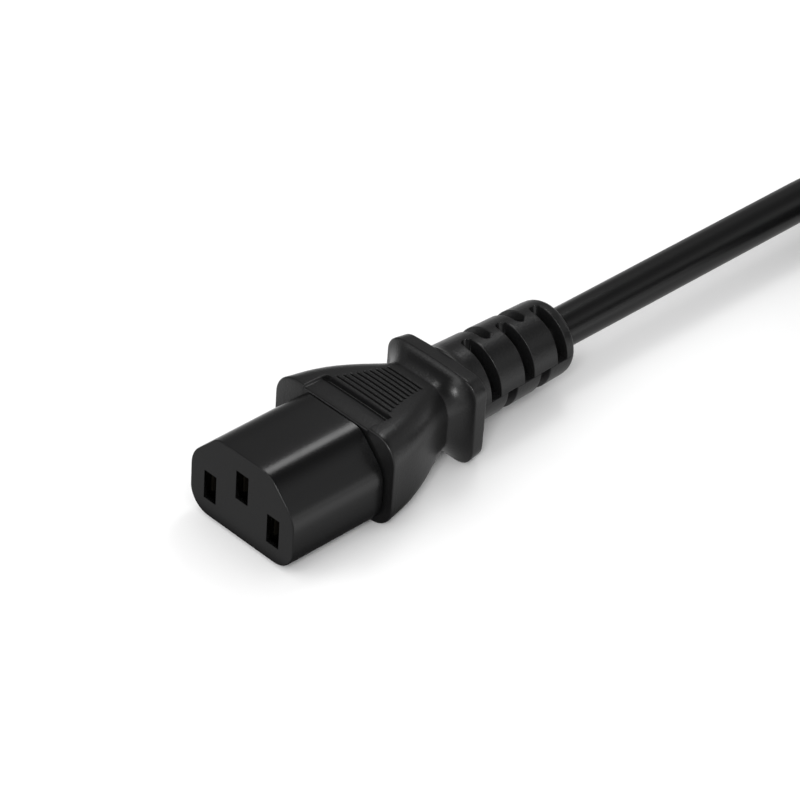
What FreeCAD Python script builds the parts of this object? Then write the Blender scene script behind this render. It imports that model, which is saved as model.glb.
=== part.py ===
import FreeCAD, Part
import math
import os
import Sketcher

# A mains power cord with a moulded connector on one end and a moulded plug on the other.
# Millimetres. +Z is up and zero is the surface that the cord lies on.
# The connector's mating face looks towards -Y, and the cord leaves it along +Y.

os.makedirs("parts", exist_ok=True)
doc = FreeCAD.newDocument("power_cord")
sheet = doc.addObject("Spreadsheet::Sheet", "Sizes")
Vector = FreeCAD.Vector


def size(name, number, meaning):
    """Write one driving dimension into the sheet, under its own name."""
    row = size.row
    sheet.set(f"A{row}", meaning)
    sheet.set(f"B{row}", str(number))
    sheet.setAlias(f"B{row}", name)
    size.row = row + 1


size.row = 1

# The mating pattern, which both ends share
size("pin_pitch", 14.0, "line pin to neutral pin")
size("earth_offset", 4.0, "earth pin above the other two")
size("pin_height", 4.0, "tall side of a pin")
size("pin_thickness", 2.0, "thin side of a pin")
size("slot_width", 2.7, "entry slot, across")
size("slot_tall", 5.2, "entry slot, up and down")
size("mating_clearance", 0.35, "block to recess, each side")

# The connector's front block, which goes into an inlet
size("block_width", 22.84, "side to side")
size("block_tall", 15.49, "bottom to top")
size("block_chamfer", 5.52, "the two upper corners that set the way round")
size("block_length", 18.8, "mating face to shoulder")
size("block_lift", 0.65, "block's underside above the surface")
size("block_low_radius", 4.0, "lower corners")
size("block_top_radius", 1.5, "edge between top and chamfer")
size("block_side_radius", 2.5, "edge between chamfer and side")
size("block_edge", 0.3, "chamfer round the mating face")
size("block_joint", 0.4, "open joint between the block and the grip")
size("slot_rise", 5.65, "line and neutral slots above the block's underside")
size("entry_depth", 1.3, "wall that the slots pass through")
size("chamber_width", 4.2, "room for a contact, across")
size("chamber_tall", 5.8, "room for a contact, up and down")
size("spigot_length", 3.2, "part of the carrier that the grip is moulded round")
size("spigot_inset", 1.7, "carrier's outline to the spigot's")

# The moulded grip
size("shoulder_half", 13.2, "centre to side at the shoulder")
size("shoulder_tall", 16.6, "surface to top at the shoulder")
size("shoulder_radius", 4.4, "corners of the shoulder")
size("shoulder_crown", 400.0, "almost flat crown of the top at the shoulder")
size("crown_radius", 95.0, "slight crown of the top at the neck")
size("waist_length", 17.3, "shoulder to neck")
size("neck_half", 7.35, "centre to side at the neck")
size("neck_top", 14.6, "surface to top at the neck")
size("neck_bottom", 1.7, "surface to underside at the neck")
size("neck_radius", 4.6, "corners of the neck")
size("flare_length", 3.5, "neck to collar")
size("rim_half", 9.85, "centre to side at the collar")
size("rim_tall", 16.05, "surface to top at the collar")
size("rim_radius", 3.2, "corners of the collar")
size("rim_length", 2.8, "collar, front to back")
size("rim_draft", 0.35, "how much the collar narrows to its back")
size("label_half", 7.2, "centre to side of the recessed panel")
size("label_length", 5.0, "recessed panel, front to back")
size("label_depth", 0.4, "recessed panel below the top")
size("channel_width", 1.1, "deeper channel behind the panel")
size("rib_count", 10, "ribs across the top of the grip")
size("rib_pitch", 1.115, "rib to rib")
size("rib_gap", 0.5, "groove between two ribs")
size("rib_depth", 0.65, "groove below the rib tops")
size("rib_first_half", 6.35, "half length of the first rib")
size("rib_last_half", 3.7, "half length of the last rib")

# The flexible strain relief
size("relief_length", 23.8, "collar to end")
size("relief_start", 7.2, "radius at the collar")
size("relief_end", 6.5, "radius at the end")
size("relief_round", 1.3, "rounding of the end")
size("relief_slots", 5, "slot stations along it")
size("relief_first", 5.0, "collar to middle of the first slot")
size("relief_pitch", 3.85, "slot to slot")
size("relief_slot", 2.2, "width of a slot")
size("relief_overlap", 1.0, "how far a slot passes the middle")
size("sleeve_radius", 4.15, "wall left round the cord between the slots")

# The cord
size("cord_diameter", 6.8, "jacket")
size("cord_height", 8.4, "cord's axis above the surface at the connector")
size("jacket_inside", 24.2, "end of the relief back to the end of the jacket")
size("core_diameter", 2.6, "insulated core")
size("conductor_diameter", 1.4, "copper strands")
size("core_spread", 1.5, "cord's axis to a core's axis")
size("core_turn", 90.0, "angle round the cord's axis at which the earth core lies")
size("lead_straight", 4.0, "straight ends of a core where the cores fan out")

# The contacts and the pins
size("strip", 0.4, "thickness of the contact strip")
size("contact_front", 0.4, "entry wall to the contact's mouth")
size("contact_length", 15.0, "mouth to back of the spring leaves")
size("contact_half", 1.9, "centre to outside of a leaf")
size("contact_tall", 4.6, "width of the strip")
size("pinch_gap", 1.5, "between the leaves where they grip a pin")
size("pinch_back", 3.6, "mouth to the pinch")
size("mouth_gap", 2.4, "between the leaves at the mouth")
size("barrel_length", 7.0, "crimp")
size("barrel_wall", 0.35, "crimp's wall")
size("barrel_seam", 0.3, "open seam along the crimp")
size("bare_length", 0.8, "bare strands between crimp and insulation")

# The plug at the far end
size("shroud_wall", 1.9, "wall round the pins")
size("shroud_depth", 16.6, "rim to the floor of the recess")
size("shroud_floor", 4.6, "floor that holds the pins")
size("plug_step", 0.4, "grip stands proud of the shroud")
size("plug_neck_half", 7.6, "centre to side at the plug's neck")
size("plug_neck_tall", 13.6, "height of the plug's neck")
size("pin_setback", 1.6, "pin tips behind the rim")
size("pin_tip", 0.7, "chamfer of a pin's tip")

# The put-away length, folded into a hank in line with the connector
size("fold_radius", 23.8, "radius of the folds, to the middle of the runs")
size("hank_distance", 93.9, "connector's end to the centre of the near fold")
size("hank_run", 75.0, "centre of the near fold to the centre of the far one")
size("drop_start", 24.0, "centre of the near fold back to the top of the cord's drop")
size("drop_end", 7.0, "centre of the near fold back to the foot of the drop")
size("tail_straight", 20.0, "centre of the far fold to where the tail rises")
size("tail_rise", 28.0, "length of that rise")
size("tail_length", 62.5, "centre of the far fold back to the plug's relief")
size("tie_thickness", 0.8, "strap round the hank")
size("tie_width", 9.0, "strap, along the turns")
doc.recompute()


def value(expression):
    """The number that an expression on the sheet gives."""
    return float(sheet.evalExpression(expression.replace("Sizes.", "")))


# Places that more than one piece needs, as expressions on the sheet
CONNECTOR_LENGTH = (
    "(Sizes.block_length + Sizes.waist_length + Sizes.flare_length"
    " + Sizes.rim_length + Sizes.relief_length)"
)
PLUG_FRONT = "(Sizes.shroud_depth + Sizes.shroud_floor)"
PLUG_LENGTH = (
    f"({PLUG_FRONT} + Sizes.waist_length + Sizes.flare_length"
    " + Sizes.rim_length + Sizes.relief_length)"
)
SLOT_HEIGHT = "(Sizes.block_lift + Sizes.slot_rise)"
SHROUD_GROWTH = "(Sizes.mating_clearance + Sizes.shroud_wall)"
SHROUD_WIDTH = f"(Sizes.block_width + 2 * {SHROUD_GROWTH})"
SHROUD_TALL = f"(Sizes.block_tall + 2 * {SHROUD_GROWTH})"
PIN_HEIGHT = f"(Sizes.plug_step + {SHROUD_GROWTH} + Sizes.slot_rise)"
PLUG_AXIS = f"(Sizes.plug_step + {SHROUD_TALL} / 2)"
HANK_X = "(Sizes.fold_radius + Sizes.cord_diameter / 2)"
HANK_FRONT = f"({CONNECTOR_LENGTH} / 2 + Sizes.hank_distance)"
HANK_BACK = f"({HANK_FRONT} + Sizes.hank_run)"
LOW_RUN = "(Sizes.tie_thickness + Sizes.cord_diameter / 2)"
HIGH_RUN = f"({LOW_RUN} + Sizes.cord_diameter)"
HANK_TOP = "(Sizes.tie_thickness + 2 * Sizes.cord_diameter)"
PLUG_X = f"({HANK_X} + Sizes.fold_radius - Sizes.cord_diameter / 2)"
PLUG_END = f"({HANK_BACK} - Sizes.tail_length)"


def place(piece, x="0", y="0", z="0"):
    """Bind a piece's place to the sheet."""
    piece.setExpression("Placement.Base.x", x)
    piece.setExpression("Placement.Base.y", y)
    piece.setExpression("Placement.Base.z", z)


def new_body(label):
    body = doc.addObject("PartDesign::Body", label)
    body.Label = label
    return body


def plane_of(body, role):
    for feature in body.Origin.OriginFeatures:
        if feature.Role == role:
            return feature
    raise RuntimeError(f"{body.Label} has no {role}")


def new_sketch(body, name, role, offset="0"):
    """A sketch on one of the body's own planes, moved along that plane's normal."""
    sketch = body.newObject("Sketcher::SketchObject", name)
    sketch.AttachmentSupport = [(plane_of(body, role), "")]
    sketch.MapMode = "FlatFace"
    sketch.setExpression("AttachmentOffset.Base.z", offset)
    return sketch


def line(sketch, x1, y1, x2, y2):
    start = Vector(x1, y1, 0)
    end = Vector(x2, y2, 0)
    return sketch.addGeometry(Part.LineSegment(start, end), False)


def arc(sketch, x, y, radius, start_angle, end_angle):
    """An arc from one angle to another, in degrees, counterclockwise."""
    circle = Part.Circle(Vector(x, y, 0), Vector(0, 0, 1), radius)
    span = (math.radians(start_angle), math.radians(end_angle))
    return sketch.addGeometry(Part.ArcOfCircle(circle, *span), False)


def bind(sketch, constraint, name, expression):
    """Add a dimension to a sketch, name it and tie it to the sheet."""
    index = sketch.addConstraint(constraint)
    sketch.renameConstraint(index, name)
    sketch.setExpression(f"Constraints.{name}", expression)


def distance_x(sketch, edge, point, name, expression):
    amount = value(expression)
    bind(sketch, Sketcher.Constraint("DistanceX", -1, 1, edge, point, amount), name, expression)


def distance_y(sketch, edge, point, name, expression):
    amount = value(expression)
    bind(sketch, Sketcher.Constraint("DistanceY", -1, 1, edge, point, amount), name, expression)


def join(sketch, pairs, kind="Coincident"):
    for first, first_end, second, second_end in pairs:
        sketch.addConstraint(Sketcher.Constraint(kind, first, first_end, second, second_end))


def draw_box(sketch, left, right, low, high):
    """A rectangle whose four sides are tied to the sheet."""
    x1, x2, y1, y2 = (value(side) for side in (left, right, low, high))
    bottom = line(sketch, x1, y1, x2, y1)
    side = line(sketch, x2, y1, x2, y2)
    top = line(sketch, x2, y2, x1, y2)
    back = line(sketch, x1, y2, x1, y1)
    join(sketch, [(bottom, 2, side, 1), (side, 2, top, 1), (top, 2, back, 1), (back, 2, bottom, 1)])
    for edge in (bottom, top):
        sketch.addConstraint(Sketcher.Constraint("Horizontal", edge))
    for edge in (side, back):
        sketch.addConstraint(Sketcher.Constraint("Vertical", edge))
    distance_x(sketch, bottom, 1, "left", left)
    distance_x(sketch, bottom, 2, "right", right)
    distance_y(sketch, bottom, 1, "low", low)
    distance_y(sketch, top, 1, "high", high)


def draw_circle(sketch, x, y, radius):
    circle = Part.Circle(Vector(value(x), value(y), 0), Vector(0, 0, 1), value(radius))
    index = sketch.addGeometry(circle, False)
    distance_x(sketch, index, 3, "middle_x", x)
    distance_y(sketch, index, 3, "middle_y", y)
    bind(sketch, Sketcher.Constraint("Radius", index, value(radius)), "radius", radius)


def draw_crowned(sketch, half, top, bottom, radius, crown_radius):
    """A rounded rectangle with a flat base, upright sides and a slightly crowned top."""
    parts = (half, top, bottom, radius, crown_radius)
    across, up, down, corner, crown = (value(part) for part in parts)
    centre = up - crown
    high = centre + math.sqrt((crown - corner) ** 2 - (across - corner) ** 2)
    low = down + corner
    inner = across - corner
    lean = math.degrees(math.atan2(high - centre, inner))
    base = line(sketch, -inner, down, inner, down)
    low_right = arc(sketch, inner, low, corner, 270, 360)
    right = line(sketch, across, low, across, high)
    high_right = arc(sketch, inner, high, corner, 0, lean)
    cap = arc(sketch, 0, centre, crown, lean, 180 - lean)
    high_left = arc(sketch, -inner, high, corner, 180 - lean, 180)
    left = line(sketch, -across, high, -across, low)
    low_left = arc(sketch, -inner, low, corner, 180, 270)
    join(sketch, [
        (base, 2, low_right, 1), (low_right, 2, right, 1), (right, 2, high_right, 1),
        (high_right, 2, cap, 1), (cap, 2, high_left, 1), (high_left, 2, left, 1),
        (left, 2, low_left, 1), (low_left, 2, base, 1),
    ], "Tangent")
    sketch.addConstraint(Sketcher.Constraint("Horizontal", base))
    sketch.addConstraint(Sketcher.Constraint("Vertical", right))
    sketch.addConstraint(Sketcher.Constraint("Vertical", left))
    sketch.addConstraint(Sketcher.Constraint("PointOnObject", cap, 3, -2))
    for other in (high_right, high_left, low_left):
        sketch.addConstraint(Sketcher.Constraint("Equal", low_right, other))
    bind(sketch, Sketcher.Constraint("Radius", low_right, corner), "corner", radius)
    bind(sketch, Sketcher.Constraint("Radius", cap, crown), "crown", crown_radius)
    distance_x(sketch, right, 1, "side", half)
    distance_x(sketch, left, 1, "other_side", f"-({half})")
    distance_y(sketch, base, 1, "bottom", bottom)
    distance_y(sketch, cap, 3, "crown_middle", f"({top}) - ({crown_radius})")


def draw_block(sketch, width, tall, chamfer, bottom):
    """The six-sided outline of a front block, or of the recess that takes one."""
    half = value(width) / 2
    low = value(bottom)
    high = low + value(tall)
    cut = value(chamfer)
    corners = [
        (-half, low), (half, low), (half, high - cut),
        (half - cut, high), (cut - half, high), (-half, high - cut),
    ]
    edges = []
    for index, start in enumerate(corners):
        end = corners[(index + 1) % len(corners)]
        edges.append(line(sketch, *start, *end))
    for index, edge in enumerate(edges):
        following = edges[(index + 1) % len(edges)]
        join(sketch, [(edge, 2, following, 1)])
    base, right, right_cut, top, left_cut, left = edges
    for edge in (base, top):
        sketch.addConstraint(Sketcher.Constraint("Horizontal", edge))
    for edge in (right, left):
        sketch.addConstraint(Sketcher.Constraint("Vertical", edge))
    distance_x(sketch, base, 1, "left", f"-({width}) / 2")
    distance_x(sketch, base, 2, "right", f"({width}) / 2")
    distance_y(sketch, base, 1, "bottom", bottom)
    distance_y(sketch, top, 1, "top", f"({bottom}) + ({tall})")
    distance_x(sketch, top, 1, "top_right", f"({width}) / 2 - ({chamfer})")
    distance_x(sketch, top, 2, "top_left", f"({chamfer}) - ({width}) / 2")
    distance_y(sketch, right, 2, "right_top", f"({bottom}) + ({tall}) - ({chamfer})")
    distance_y(sketch, left, 1, "left_top", f"({bottom}) + ({tall}) - ({chamfer})")


def pad(body, name, sketch, length, towards_cord=True):
    feature = body.newObject("PartDesign::Pad", name)
    feature.Profile = sketch
    feature.Reversed = towards_cord
    feature.setExpression("Length", length)
    doc.recompute()
    return feature


def pocket(body, name, sketch, length, flip=False):
    """Cut a sketch out of the body, and make sure that it removed something."""
    before = body.Shape.Volume
    feature = body.newObject("PartDesign::Pocket", name)
    feature.Profile = sketch
    feature.Reversed = flip
    feature.setExpression("Length", length)
    doc.recompute()
    if not body.Shape.Volume < before:
        raise RuntimeError(f"{name} removed nothing")
    return feature


def repeat(body, name, feature, sketch, count, step):
    """Copies of a feature in a row along the cord."""
    pattern = body.newObject("PartDesign::LinearPattern", name)
    pattern.Originals = [feature]
    pattern.Direction = (sketch, ["V_Axis"])
    pattern.Occurrences = count
    pattern.setExpression("Length", f"{count - 1} * ({step})")
    body.Tip = pattern
    doc.recompute()
    return pattern


def edges_along_y(shape, test):
    """Names of the straight edges parallel to Y whose middle passes a test."""
    names = []
    for number, edge in enumerate(shape.Edges, start=1):
        box = edge.BoundBox
        middle = box.Center
        if box.YLength > 1 and box.XLength < 1e-4 and box.ZLength < 1e-4 and test(middle):
            names.append(f"Edge{number}")
    return names


def edges_at_y(shape, y):
    """Names of the edges that lie in one plane across Y."""
    names = []
    for number, edge in enumerate(shape.Edges, start=1):
        box = edge.BoundBox
        if box.YLength < 1e-4 and abs(box.Center.y - y) < 1e-4:
            names.append(f"Edge{number}")
    return names


def fillet(body, name, edges, radius):
    before = body.Tip
    feature = body.newObject("PartDesign::Fillet", name)
    feature.Base = (before, edges)
    feature.setExpression("Radius", radius)
    body.Tip = feature
    doc.recompute()
    return feature


def chamfer(body, name, edges, amount):
    before = body.Tip
    feature = body.newObject("PartDesign::Chamfer", name)
    feature.Base = (before, edges)
    feature.setExpression("Size", amount)
    body.Tip = feature
    doc.recompute()
    return feature


def round_block(body, width, bottom, extra):
    """Round the long edges of a block's outline, grown by a wall if it has one."""
    half = value(width) / 2
    low = value(bottom)
    lower = edges_along_y(body.Shape, lambda p: abs(p.z - low) < 0.01 and abs(abs(p.x) - half) < 0.01)
    fillet(body, "LowerCorners", lower, "Sizes.block_low_radius")
    side = edges_along_y(
        body.Shape,
        lambda p: abs(abs(p.x) - half) < 0.01 and p.z > low + value("Sizes.block_tall") / 2,
    )
    fillet(body, "SideEdges", side, f"Sizes.block_side_radius + {extra}")
    high = body.Shape.BoundBox.ZMax
    top = edges_along_y(body.Shape, lambda p: abs(p.z - high) < 0.01)
    fillet(body, "TopEdges", top, f"Sizes.block_top_radius + {extra}")


# The three poles: name, place across, and height above the line and neutral pins
POLES = (
    ("neutral", "-Sizes.pin_pitch / 2", "0"),
    ("earth", "0", "Sizes.earth_offset"),
    ("line", "Sizes.pin_pitch / 2", "0"),
)


# The connector's contact carrier, with an entry slot and a chamber for each contact
def build_carrier():
    body = new_body("contact_carrier")
    outline = new_sketch(body, "BlockOutline", "XZ_Plane")
    draw_block(outline, "Sizes.block_width", "Sizes.block_tall", "Sizes.block_chamfer", "Sizes.block_lift")
    pad(body, "Block", outline, "Sizes.block_length - Sizes.block_joint")
    round_block(body, "Sizes.block_width", "Sizes.block_lift", "0")
    chamfer(body, "FaceEdge", edges_at_y(body.Shape, 0), "Sizes.block_edge")
    spigot = new_sketch(body, "SpigotOutline", "XZ_Plane", "Sizes.block_joint - Sizes.block_length")
    draw_block(
        spigot, "Sizes.block_width - 2 * Sizes.spigot_inset", "Sizes.block_tall - 2 * Sizes.spigot_inset",
        "Sizes.block_chamfer", "Sizes.block_lift + Sizes.spigot_inset",
    )
    pad(body, "Spigot", spigot, "Sizes.spigot_length + Sizes.block_joint")
    for pole, x, rise in POLES:
        height = f"{SLOT_HEIGHT} + {rise}"
        chamber = new_sketch(body, f"{pole}_chamber", "XZ_Plane", "-Sizes.block_length - Sizes.spigot_length")
        draw_box(
            chamber, f"{x} - Sizes.chamber_width / 2", f"{x} + Sizes.chamber_width / 2",
            f"{height} - Sizes.chamber_tall / 2", f"{height} + Sizes.chamber_tall / 2",
        )
        depth = "Sizes.block_length + Sizes.spigot_length - Sizes.entry_depth"
        pocket(body, f"{pole}_chamber_cut", chamber, depth, flip=True)
        entry = new_sketch(body, f"{pole}_entry", "XZ_Plane")
        draw_box(
            entry, f"{x} - Sizes.slot_width / 2", f"{x} + Sizes.slot_width / 2",
            f"{height} - Sizes.slot_tall / 2", f"{height} + Sizes.slot_tall / 2",
        )
        pocket(body, f"{pole}_entry_cut", entry, "Sizes.entry_depth + 1")
    place(body, y=f"-{CONNECTOR_LENGTH} / 2")
    return body


# One female contact: two spring leaves that pinch a pin, and a crimp behind them
def build_contact(pole, x, rise):
    body = new_body(f"{pole}_contact")
    outline = new_sketch(body, "LeafOutline", "XY_Plane")
    mouth = value("Sizes.mouth_gap") / 2
    pinch = value("Sizes.pinch_gap") / 2
    strip = value("Sizes.strip")
    outer = value("Sizes.contact_half")
    length = value("Sizes.contact_length")
    back = value("Sizes.pinch_back")
    belly = (back + length) / 2
    right = [
        (mouth, 0), (pinch, back), (outer - strip, belly), (outer - strip, length - strip),
    ]
    right_outer = [(outer, length), (outer, belly), (pinch + strip, back), (mouth + strip, 0)]
    inside = right + [(-px, py) for px, py in reversed(right)]
    outside = [(-px, py) for px, py in reversed(right_outer)] + right_outer
    corners = inside + outside
    edges = []
    for index, start in enumerate(corners):
        end = corners[(index + 1) % len(corners)]
        edges.append(line(outline, *start, *end))
    for index, edge in enumerate(edges):
        join(outline, [(edge, 2, edges[(index + 1) % len(edges)], 1)])
    names = {
        "mouth": "Sizes.mouth_gap / 2", "pinch": "Sizes.pinch_gap / 2",
        "wide": "Sizes.contact_half - Sizes.strip", "outer": "Sizes.contact_half",
        "pinch_out": "Sizes.pinch_gap / 2 + Sizes.strip", "mouth_out": "Sizes.mouth_gap / 2 + Sizes.strip",
    }
    across = ["mouth", "pinch", "wide", "wide"]
    across_outer = ["outer", "outer", "pinch_out", "mouth_out"]
    along = ["0", "Sizes.pinch_back", "(Sizes.pinch_back + Sizes.contact_length) / 2"]
    along_inner = along + ["Sizes.contact_length - Sizes.strip"]
    along_outer = ["Sizes.contact_length", along[2], along[1], along[0]]
    plan = list(zip(across, along_inner, [""] * 4))
    plan += [(name, place_y, "-") for name, place_y, _ in reversed(plan)]
    outer_plan = list(zip(across_outer, along_outer, [""] * 4))
    plan += [(name, place_y, "-") for name, place_y, _ in reversed(outer_plan)] + outer_plan
    for number, (name, place_y, sign) in enumerate(plan):
        distance_x(outline, edges[number], 1, f"x{number}_across", f"{sign}({names[name]})")
        distance_y(outline, edges[number], 1, f"y{number}_along", place_y)
    leaves = pad(body, "Leaves", outline, "Sizes.contact_tall", towards_cord=False)
    leaves.Midplane = True
    crimp = new_sketch(body, "CrimpOutline", "XZ_Plane", "-Sizes.contact_length")
    draw_circle(crimp, "0", "0", "Sizes.conductor_diameter / 2 + Sizes.barrel_wall")
    pad(body, "Crimp", crimp, "Sizes.barrel_length")
    bore = new_sketch(body, "CrimpBore", "XZ_Plane", "-Sizes.contact_length - Sizes.barrel_length")
    draw_circle(bore, "0", "0", "Sizes.conductor_diameter / 2")
    pocket(body, "CrimpBoreCut", bore, "Sizes.barrel_length", flip=True)
    seam = new_sketch(body, "CrimpSeam", "XZ_Plane", "-Sizes.contact_length - Sizes.barrel_length")
    draw_box(
        seam, "-Sizes.barrel_seam / 2", "Sizes.barrel_seam / 2",
        "0", "Sizes.conductor_diameter + Sizes.barrel_wall",
    )
    pocket(body, "CrimpSeamCut", seam, "Sizes.barrel_length", flip=True)
    place(
        body, x,
        f"Sizes.entry_depth + Sizes.contact_front - {CONNECTOR_LENGTH} / 2",
        f"{SLOT_HEIGHT} + {rise}",
    )
    return body


# The shape of a grip between its shoulder and its neck:
# share of the way back, and share of the narrowing that is still left there
FLANK = ((0.0, 1.0), (0.25, 0.855), (0.5, 0.63), (0.75, 0.305), (1.0, 0.0))
# The flare from the neck to the collar is most of a quarter ellipse, cut at these angles
FLARE_ANGLES = (20, 40, 60, 80)


def grip_top(share, tall, neck):
    """Height of a grip's top at a share of the way from its shoulder to its neck."""
    return f"({neck}) + (({tall}) - ({neck})) * (1 - {share} ^ 2)"


def build_grip(label, grip):
    """The outer form of a moulded grip with its collar and slotted strain relief."""
    body = new_body(label)
    sections = []

    def section(name, distance, half, top, bottom, radius, crown):
        sketch = new_sketch(body, name, "XZ_Plane", f"-({grip['front']}) - ({distance})")
        draw_crowned(sketch, half, top, bottom, radius, crown)
        sections.append(sketch)

    for number, (share, left) in enumerate(FLANK):
        section(
            f"Flank{number}",
            f"{share} * Sizes.waist_length",
            f"({grip['neck_half']}) + (({grip['half']}) - ({grip['neck_half']})) * {left}",
            grip_top(share, grip["tall"], grip["neck_top"]),
            f"({grip['neck_bottom']}) * {share} ^ 2",
            f"Sizes.shoulder_radius + (Sizes.neck_radius - Sizes.shoulder_radius) * {share}",
            "Sizes.shoulder_crown * Sizes.crown_radius / (Sizes.crown_radius"
            f" + (Sizes.shoulder_crown - Sizes.crown_radius) * {share})",
        )
    for number, angle in enumerate(FLARE_ANGLES):
        widest = math.radians(FLARE_ANGLES[-1])
        forward = math.sin(math.radians(angle)) / math.sin(widest)
        grown = (1 - math.cos(math.radians(angle))) / (1 - math.cos(widest))
        section(
            f"Flare{number}",
            f"Sizes.waist_length + {forward:.5f} * Sizes.flare_length",
            f"({grip['neck_half']}) + (Sizes.rim_half - ({grip['neck_half']})) * {grown:.5f}",
            f"({grip['neck_top']}) + (({grip['rim_top']}) - ({grip['neck_top']})) * {grown:.5f}",
            f"({grip['neck_bottom']}) + (({grip['rim_bottom']}) - ({grip['neck_bottom']})) * {grown:.5f}",
            f"Sizes.neck_radius + (Sizes.rim_radius - Sizes.neck_radius) * {grown:.5f}",
            "Sizes.crown_radius",
        )
    neck = len(FLANK) - 1
    for name, part in (("Flanks", sections[:neck + 1]), ("Flare", sections[neck:])):
        form = body.newObject("PartDesign::AdditiveLoft", name)
        form.Profile = part[0]
        form.Sections = part[1:]
        doc.recompute()

    collar_start = "Sizes.waist_length + Sizes.flare_length"
    back = new_sketch(
        body, "RimBack", "XZ_Plane", f"-({grip['front']}) - ({collar_start}) - Sizes.rim_length")
    draw_crowned(
        back, "Sizes.rim_half - Sizes.rim_draft", f"{grip['rim_top']} - Sizes.rim_draft",
        f"{grip['rim_bottom']} + Sizes.rim_draft", "Sizes.rim_radius", "Sizes.crown_radius",
    )
    rim = body.newObject("PartDesign::AdditiveLoft", "Rim")
    rim.Profile = sections[-1]
    rim.Sections = [back]
    rim.Ruled = True
    doc.recompute()
    add_relief(body, grip)
    return body


def add_relief(body, grip):
    """The round relief: cut from above and below in turns, so that it bends but can't kink."""
    start = f"({grip['front']}) + Sizes.waist_length + Sizes.flare_length"
    wall = f"{start} + Sizes.rim_length"
    end = f"{wall} + Sizes.relief_length"
    axis = grip["axis"]
    y0, y1, z0 = value(start), value(end), value(axis)
    first = value("Sizes.relief_start")
    last = value("Sizes.relief_end")
    rounding = value("Sizes.relief_round")
    profile = new_sketch(body, "ReliefProfile", "YZ_Plane")
    inner = line(profile, y0, z0, y0, z0 + first)
    slope = line(profile, y0, z0 + first, y1 - rounding, z0 + last)
    corner = arc(profile, y1 - rounding, z0 + last - rounding, rounding, 0, 90)
    outer = line(profile, y1, z0 + last - rounding, y1, z0)
    base = line(profile, y1, z0, y0, z0)
    join(profile, [(inner, 2, slope, 1), (outer, 2, base, 1), (base, 2, inner, 1), (slope, 2, corner, 2)])
    join(profile, [(corner, 1, outer, 1)], "Tangent")
    profile.addConstraint(Sketcher.Constraint("Vertical", inner))
    profile.addConstraint(Sketcher.Constraint("Vertical", outer))
    profile.addConstraint(Sketcher.Constraint("Horizontal", base))
    distance_x(profile, inner, 1, "start", start)
    distance_y(profile, inner, 1, "axis", axis)
    distance_x(profile, outer, 2, "finish", end)
    distance_y(profile, inner, 2, "first", f"({axis}) + Sizes.relief_start")
    distance_y(profile, corner, 2, "last", f"({axis}) + Sizes.relief_end")
    distance_x(profile, corner, 2, "last_along", f"{end} - Sizes.relief_round")
    bind(profile, Sketcher.Constraint("Radius", corner, rounding), "rounding", "Sizes.relief_round")
    turned = body.newObject("PartDesign::Revolution", "Relief")
    turned.Profile = profile
    turned.ReferenceAxis = (profile, [f"Edge{base + 1}"])
    turned.Angle = 360
    doc.recompute()

    stations = int(value("Sizes.relief_slots"))
    odd = (stations + 1) // 2
    even = stations // 2
    # side across, up or down, which station the row starts at, how many
    rows = (
        ("RightUpper", 1, False, 0, odd),
        ("LeftUpper", -1, False, 1, even),
        ("LeftLower", -1, True, 0, odd),
        ("RightLower", 1, True, 1, even),
    )
    for name, side, downwards, shift, count in rows:
        middle = f"({wall}) + Sizes.relief_first + {shift} * Sizes.relief_pitch"
        slot = new_sketch(body, f"{name}Slot", "XY_Plane", axis)
        draw_slot(slot, side, middle)
        cut = pocket(body, f"{name}Cut", slot, "2 * Sizes.relief_start", flip=not downwards)
        if count > 1:
            repeat(body, f"{name}Row", cut, slot, count, "2 * Sizes.relief_pitch")
    sleeve = new_sketch(body, "SleeveOutline", "XZ_Plane", f"-({start})")
    draw_circle(sleeve, "0", axis, "Sizes.sleeve_radius")
    pad(body, "Sleeve", sleeve, "Sizes.rim_length + Sizes.relief_length - Sizes.relief_round")


def draw_slot(sketch, side, middle):
    """A slot in plan: open at the side of the relief, round-ended just past its middle."""
    half = value("Sizes.relief_slot") / 2
    centre = value(middle)
    inner = -side * (value("Sizes.relief_overlap") - half)
    outer = side * value("Sizes.relief_start") * 1.5
    lower = line(sketch, inner, centre - half, outer, centre - half)
    edge = line(sketch, outer, centre - half, outer, centre + half)
    upper = line(sketch, outer, centre + half, inner, centre + half)
    angles = (90, 270) if side > 0 else (270, 450)
    cap = arc(sketch, inner, centre, half, *angles)
    cap_ends = (1, 2) if side > 0 else (2, 1)
    join(sketch, [(lower, 2, edge, 1), (edge, 2, upper, 1)])
    join(sketch, [(upper, 2, cap, cap_ends[0]), (cap, cap_ends[1], lower, 1)], "Tangent")
    sketch.addConstraint(Sketcher.Constraint("Horizontal", lower))
    sketch.addConstraint(Sketcher.Constraint("Vertical", edge))
    distance_x(sketch, cap, 3, "cap", f"{-side} * (Sizes.relief_overlap - Sizes.relief_slot / 2)")
    distance_y(sketch, cap, 3, "middle", middle)
    bind(sketch, Sketcher.Constraint("Radius", cap, half), "half", "Sizes.relief_slot / 2")
    distance_x(sketch, edge, 1, "outer", f"{side} * 1.5 * Sizes.relief_start")


def new_box(name, left, right, front, back, floor):
    """A plain cutter, open to the top, whose sides are tied to the sheet."""
    cutter = doc.addObject("Part::Box", name)
    cutter.setExpression("Length", f"({right}) - ({left})")
    cutter.setExpression("Width", f"({back}) - ({front})")
    cutter.setExpression("Height", "Sizes.shoulder_tall")
    place(cutter, left, front, floor)
    return cutter


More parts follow.
